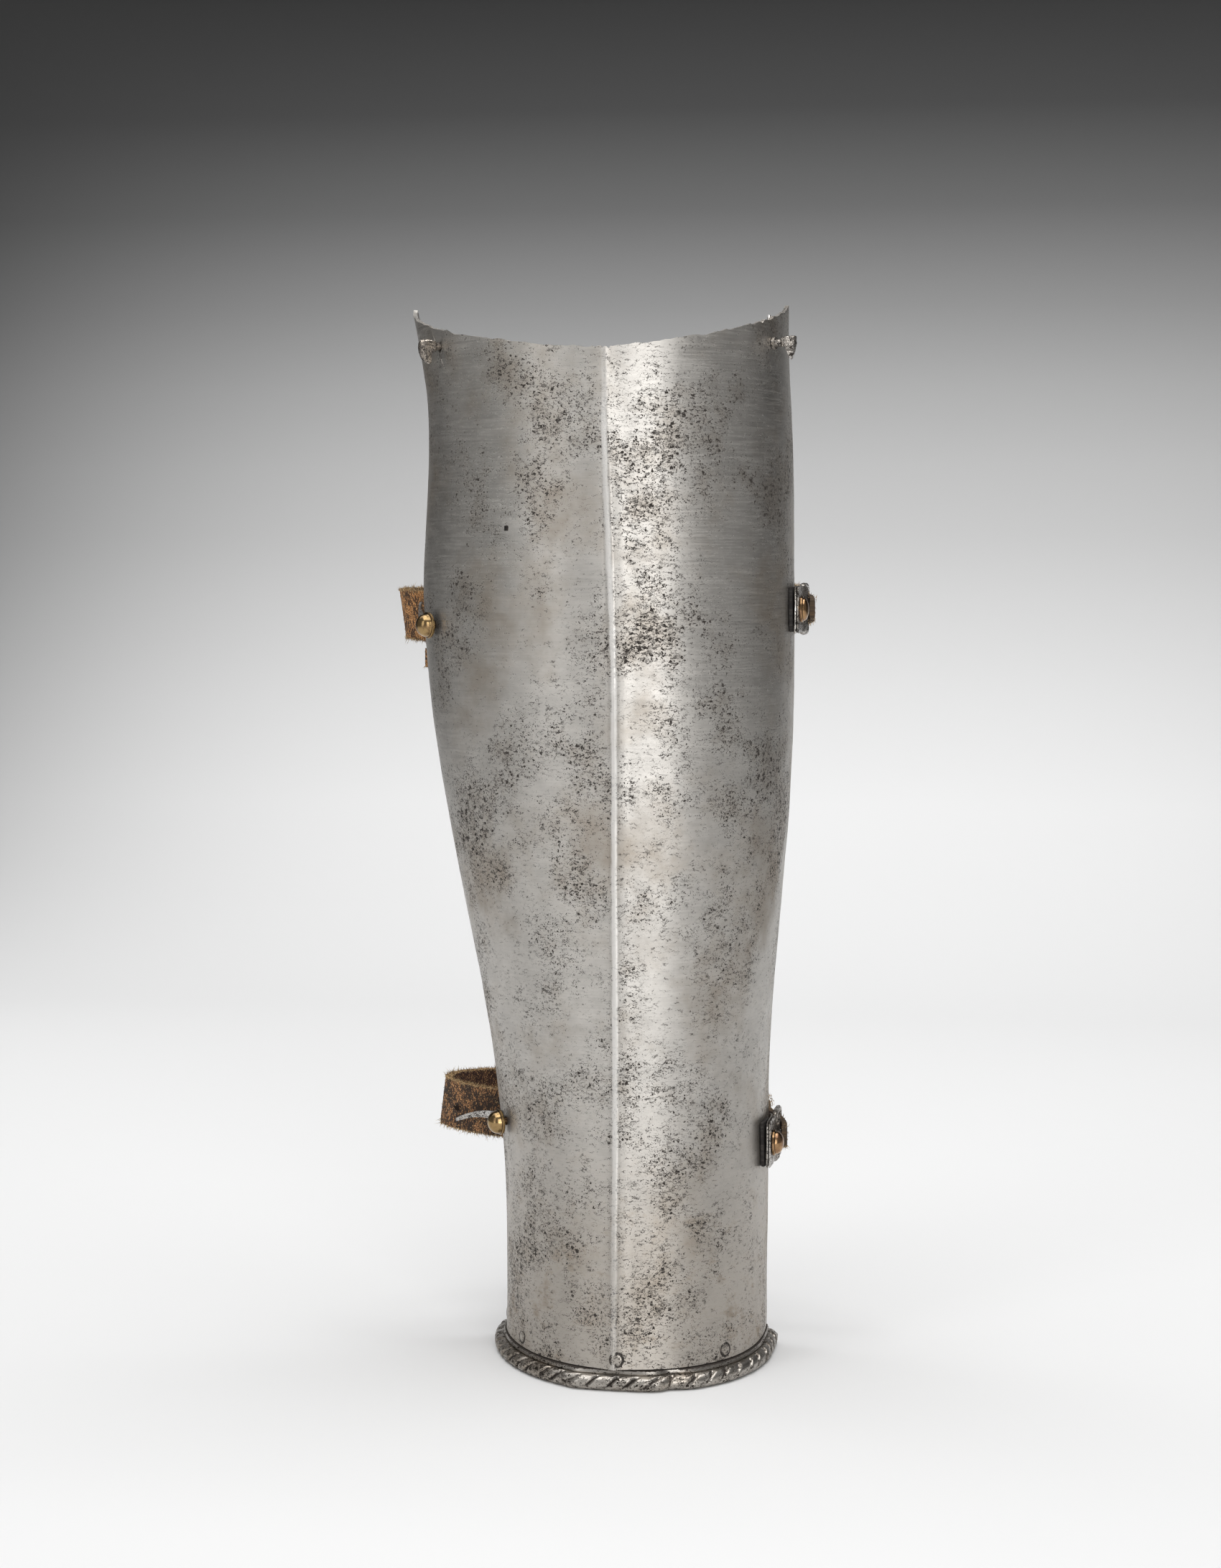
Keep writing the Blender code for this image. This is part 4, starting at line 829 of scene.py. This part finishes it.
# The flush rivets are filed level with the plate, and each sits in a ring of rust.
flush_steel = worn_steel("flush_steel", STEEL_GREY, 0.33, pitting=0.02, streaks=0.0)
seam_rust = mottled("seam_rust", 0.8, 1300.0, 0.48, 0.66,
                    (0.022, 0.018, 0.015, 1), (0.120, 0.100, 0.085, 1))
for number in range(1, 6):
    node = f"flange_rivet_{number}"
    top, axis, length = rivet_axis(node)
    rings = [(SHANK, -length + 0.0008), (SHANK, -0.0007), (0.0026, -0.00062), (0.0026, -0.00050),
             (0.00235, -0.00038), (0.00195, -0.00042), (0.00175, -0.00028), (0.0012, -0.00018),
             (0.0005, -0.00015)]
    head = turned_head(node + "_head", rings, top, axis, 32)
    head.data.materials.append(flush_steel)
    head.data.materials.append(seam_rust)
    for face in head.data.polygons:
        away = (face.center - top).cross(axis).length
        wander = 0.0003 * noise.noise(face.center * 420.0)
        face.material_index = 1 if away + wander > RUST_FROM else 0
    bpy.ops.object.shade_smooth_by_angle(angle=math.radians(50))
    hand_over(head, "greave", "rivet_steel", node)


# Straps.
# Thick hide, cut in strips with the rough flesh side outwards, riveted inside the plate on
# one side and drawn through the buckles on the other. The cut edges are frayed and tan.
STRAP_THICK = 0.0026
TAIL_THICK = 0.0017         # a strap is pared down to this at its tip,
TAIL_LONG = 0.021           # over this much of its length
TAB_THICK = 0.0011
OLD_HOLE = (0.0572, 0.0598, 0.0026, -0.0006)    # a spare hole: from, to, height, aside
WORN_SMOOTH = 0.175         # past this far from its root, a strap's edges are worn smooth
TAIL_DARK = (0.180, 0.200)  # its colour darkens between these two distances
TUCK = 0.0022               # a strap lies this much closer behind the leg, past its buckle,
TUCK_FROM = 0.070           # from this far back,
TUCK_OVER = 0.020           # growing over this much
EDGE_BAND = 0.0012          # how far in from its cut edges a strip is ragged and thinner
MESH_STEP = 0.00075
SLOT_FROM_TIP = (0.0060, 0.0160)                # the slot for the buckle's tongue
SLOT_TALL = 0.0034
GRAIN = 0.00011             # how rough the faces of the straps and of the tabs are
TAB_GRAIN = 0.00005
RAGGED = 0.00022            # how uneven the cut edges are,
SPREAD = 0.00012            # and about how far they have spread outwards


def strip_line(node):
    """A strip's centre line read from its solid: points, ways up and ahead, distances, widths."""
    # The faces of its upper edge look up and those of its lower edge look down. Each row of
    # them is followed from its frontmost face on.
    solid = fresh_copy(node, "guide")
    chains = []
    for way in (1, -1):
        rows = []
        for face in solid.data.polygons:
            if face.normal.z * way < 0.7:
                continue
            near = [vertex.co.z for vertex in solid.data.vertices
                    if (vertex.co.xy - face.center.xy).length < 0.0030]
            if max(z * way for z in near) < face.center.z * way + 0.0022:
                rows.append(face.center.copy())
        here = min(rows, key=lambda co: co.y)
        chain = [here]
        rows.remove(here)
        while rows:
            here = min(rows, key=lambda co: (co - here).length)
            rows.remove(here)
            if (here - chain[-1]).length > 0.0007:
                chain.append(here)
        if chain[0].x > chain[-1].x + 0.05:
            chain.reverse()
        chains.append(smooth_line([tuple(co) for co in chain], 0.001))
    bpy.data.objects.remove(solid)
    count = max(len(chain) for chain in chains)
    even = []
    for chain in chains:
        share = np.linspace(0, 1, len(chain))
        even.append(np.array([np.interp(np.linspace(0, 1, count), share, chain[:, axis])
                              for axis in range(3)]).T)
    top, bottom = even
    middle = (top + bottom) / 2
    tall = top - bottom
    width = np.linalg.norm(tall, axis=1)
    steps = np.linalg.norm(np.diff(middle, axis=0), axis=1)
    gone = np.concatenate(([0.0], np.cumsum(steps)))
    return middle, tall / width[:, None], np.gradient(middle, axis=0), gone, width


def leather(name, dark, worn, wear, bump_height, fleck=(0.72, 0.42, 0.18, 1)):
    """Rough hide: dark finish worn through to brighter fibres."""
    material, tree, shader = new_material(name, 0.85)
    place = add_node(tree, "UVMap", uv_map="flat").outputs[0]
    fibres = speckle(tree, stretched(tree, place, (1900.0, 620.0, 1.0)), 1.0, 5.0, 0.72)
    blotches = speckle(tree, stretched(tree, place, (210.0, 150.0, 1.0)), 1.0, 4.0, 0.6)
    specks = speckle(tree, stretched(tree, place, (3600.0, 2100.0, 1.0)), 1.0, 2.0, 0.6)
    uneven = combine(tree, "MULTIPLY", combine(tree, "SUBTRACT", blotches, 0.5), 0.45)
    rubbed = combine(tree, "ADD", fibres, uneven)
    amount = ease(tree, rubbed, 0.60 - wear, 0.66 - wear)
    colour = blend_colours(tree, amount, dark, worn)
    light = combine(tree, "MULTIPLY", ease(tree, specks, 0.50, 0.62), amount)
    colour = blend_colours(tree, light, colour, fleck)
    black = combine(tree, "MULTIPLY", ease(tree, specks, 0.49, 0.39), 0.85)
    colour = blend_colours(tree, black, colour, (0.018, 0.012, 0.009, 1))
    run = add_node(tree, "SeparateXYZ", {0: place}).outputs["X"]
    tail = ease(tree, run, *TAIL_DARK, 0.0, 0.88)
    colour = blend_colours(tree, tail, colour, (0.030, 0.019, 0.013, 1))
    tree.links.new(colour, shader.inputs["Base Color"])
    tree.links.new(ease(tree, fibres, 0.3, 0.7, 0.72, 0.92), shader.inputs["Roughness"])
    relief = combine(tree, "ADD", fibres, combine(tree, "MULTIPLY", specks, 0.5))
    bump = add_node(tree, "Bump", {"Height": relief, "Strength": 0.8, "Distance": bump_height})
    tree.links.new(bump.outputs[0], shader.inputs["Normal"])
    return material


flesh_lower = leather("flesh_lower", (0.040, 0.024, 0.016, 1), (0.330, 0.150, 0.065, 1), 0.09, 0.0004)
flesh_upper = leather("flesh_upper", (0.065, 0.032, 0.016, 1), (0.460, 0.205, 0.070, 1), 0.13, 0.0004)
grain_side = leather("grain_side", (0.045, 0.018, 0.014, 1), (0.085, 0.032, 0.022, 1), 0.12, 0.0001)
cut_edge = leather("cut_edge", (0.150, 0.088, 0.040, 1), (0.450, 0.310, 0.160, 1), 0.20, 0.0003)
black_hide = leather("black_hide", (0.016, 0.014, 0.013, 1), (0.045, 0.040, 0.036, 1), 0.10, 0.0002,
                     (0.060, 0.052, 0.045, 1))
fibre_tan = mottled("fibre_tan", 0.8, 1400.0, 0.42, 0.6,
                    (0.150, 0.085, 0.038, 1), (0.62, 0.46, 0.25, 1), detail=2.0)


def leather_strip(node, line, slot, faces, thick, tail_thick, holes=(), rough=GRAIN):
    """A strip cut flat from a grid, thickened, punched, roughened and bent along its line."""
    middle, upward, forward, gone, width = line
    length = gone[-1]
    bpy.ops.object.select_all(action="DESELECT")
    bpy.ops.mesh.primitive_grid_add(
        x_subdivisions=max(8, round(length / MESH_STEP)), y_subdivisions=26, size=1)
    strip = bpy.context.object
    strip.name = node + "_leather"
    flat = strip.data.uv_layers[0]
    flat.name = "flat"
    for vertex in strip.data.vertices:
        along = (vertex.co.x + 0.5) * length
        vertex.co = (along, vertex.co.y * np.interp(along, gone, width), 0.0)
    for corner in strip.data.loops:
        flat.data[corner.index].uv = strip.data.vertices[corner.vertex_index].co.xy
    for face in faces:
        strip.data.materials.append(face)
    wall = strip.modifiers.new("wall", "SOLIDIFY")
    wall.thickness = thick
    wall.offset = 0.0
    wall.material_offset = 1
    wall.material_offset_rim = 2
    bpy.ops.object.modifier_apply(modifier="wall")
    for low, high, tall, aside in holes:
        bpy.ops.mesh.primitive_cube_add(size=1, location=((low + high) / 2, aside, 0))
        punch = bpy.context.object
        punch.scale = (high - low, tall, 0.02)
        if abs(high - low - tall) < 0.0001:
            bpy.data.objects.remove(punch)
            bpy.ops.mesh.primitive_cylinder_add(
                vertices=24, radius=tall / 2, depth=0.02, location=((low + high) / 2, aside, 0))
            punch = bpy.context.object
        bpy.ops.object.select_all(action="DESELECT")
        strip.select_set(True)
        bpy.context.view_layer.objects.active = strip
        cut = strip.modifiers.new("punched", "BOOLEAN")
        cut.operation = "DIFFERENCE"
        cut.object = punch
        bpy.ops.object.modifier_apply(modifier="punched")
        bpy.data.objects.remove(punch)
    for vertex in strip.data.vertices:
        along, across, away = vertex.co
        half = np.interp(along, gone, width) / 2
        at_tip = tail_thick / thick
        thin = at_tip + (1 - at_tip) * clamp((length - along) / TAIL_LONG)
        near_edge = clamp((abs(across) - half + EDGE_BAND) / EDGE_BAND)
        spot = Vector((along, across, away))
        ragged = noise.noise(Vector((along * 420, across * 60, 2.0)))
        ragged += 0.6 * noise.noise(Vector((along * 1300, away * 900, 7.0)))
        across += math.copysign(ragged * RAGGED - SPREAD, across) * near_edge
        pile = noise.noise(spot * 640.0) + 0.7 * noise.noise(spot * 1500.0)
        away = away * thin * (1.0 - 0.14 * near_edge) + math.copysign(pile * rough, away)
        here = Vector([np.interp(along, gone, middle[:, axis]) for axis in range(3)])
        up = Vector([np.interp(along, gone, upward[:, axis]) for axis in range(3)]).normalized()
        ahead = Vector([np.interp(along, gone, forward[:, axis]) for axis in range(3)])
        outer = up.cross(ahead).normalized()
        vertex.co = here + up * across + outer * away
        if vertex.co.x > 0.0 and tail_thick < thick:
            tucked = clamp((vertex.co.y - TUCK_FROM) / TUCK_OVER)
            vertex.co.x -= TUCK * tucked * min(vertex.co.x / 0.03, 1.0)
    face_outward()
    bpy.ops.object.shade_smooth_by_angle(angle=math.radians(60))
    hand_over(strip, "greave", slot, node)


def fray(name, line, thick, count, nap, seed):
    """Short fibres that stand out of a strip's cut edges, and a nap on its rough face."""
    chance = random.Random(seed)
    middle, upward, forward, gone, width = line
    fuzz = bmesh.new()
    for number in range(count + nap):
        along = chance.uniform(0.0, gone[-1])
        if along > WORN_SMOOTH and chance.random() < 0.9:
            continue
        here, up, ahead = (Vector([np.interp(along, gone, rows[:, axis]) for axis in range(3)])
                           for rows in (middle, upward, forward))
        up.normalize()
        ahead.normalize()
        outer = up.cross(ahead).normalized()
        half = np.interp(along, gone, width) / 2
        if number < count:
            side = chance.choice((-1, 1))
            root = here + up * side * (half - 0.0003) + outer * thick * chance.uniform(-0.5, 0.5)
            way = up * side + ahead * chance.gauss(0, 0.8) + outer * chance.gauss(0, 0.55)
            long = chance.uniform(0.0006, 0.0018) * (1.8 if chance.random() < 0.07 else 1.0)
        else:
            root = here + up * chance.uniform(-half, half) + outer * (thick / 2 - 0.00005)
            way = outer * chance.uniform(0.1, 0.5) + up * chance.gauss(0, 1)
            way += ahead * chance.gauss(0, 0.4)
            long = chance.uniform(0.0003, 0.0009)
        way.normalize()
        aside = way.orthogonal().normalized() * chance.uniform(0.00009, 0.00019)
        other = way.cross(aside)
        curl = Vector([chance.gauss(0, 1) for _ in range(3)])
        ring = [fuzz.verts.new(root + aside), fuzz.verts.new(root - aside * 0.5 + other * 0.8),
                fuzz.verts.new(root - aside * 0.5 - other * 0.8)]
        tip = fuzz.verts.new(root + (way + curl * 0.2) * long)
        fuzz.faces.new((ring[2], ring[1], ring[0]))
        for first, second in ((0, 1), (1, 2), (2, 0)):
            fuzz.faces.new((ring[first], ring[second], tip))
    bmesh.ops.recalc_face_normals(fuzz, faces=fuzz.faces)
    mesh = bpy.data.meshes.new(name)
    fuzz.to_mesh(mesh)
    fuzz.free()
    piece = bpy.data.objects.new(name, mesh)
    bpy.context.scene.collection.objects.link(piece)
    piece.data.materials.append(fibre_tan)
    hand_over(piece, "greave", "strap_leather")


STRAPS = [
    # node, rough face, seed, fibres, nap
    ("strap_upper", flesh_upper, 11, 15000, 1800),
    ("strap_lower", flesh_lower, 12, 14000, 1600),
]
for node, rough_face, seed, fibres, nap in STRAPS:
    line = strip_line(node)
    length = line[3][-1]
    slot_hole = (length - SLOT_FROM_TIP[1], length - SLOT_FROM_TIP[0], SLOT_TALL, 0.0)
    punched = (slot_hole, OLD_HOLE) if node == "strap_lower" else (slot_hole,)
    leather_strip(node, line, "strap_leather", (rough_face, grain_side, cut_edge),
                  STRAP_THICK, TAIL_THICK, punched)
    fray(node + "_fibres", line, STRAP_THICK, fibres, nap, seed)
line = strip_line("strap_tab_upper")
leather_strip("strap_tab_upper", line, "strap_leather", (flesh_upper, grain_side, cut_edge),
              STRAP_THICK, STRAP_THICK)
fray("strap_tab_fibres", line, STRAP_THICK, 420, 160, 13)
for side in ("upper", "lower"):
    node = "buckle_tab_" + side
    leather_strip(node, strip_line(node), "tab_leather", (black_hide, black_hide, black_hide),
                  TAB_THICK, TAB_THICK, rough=TAB_GRAIN)
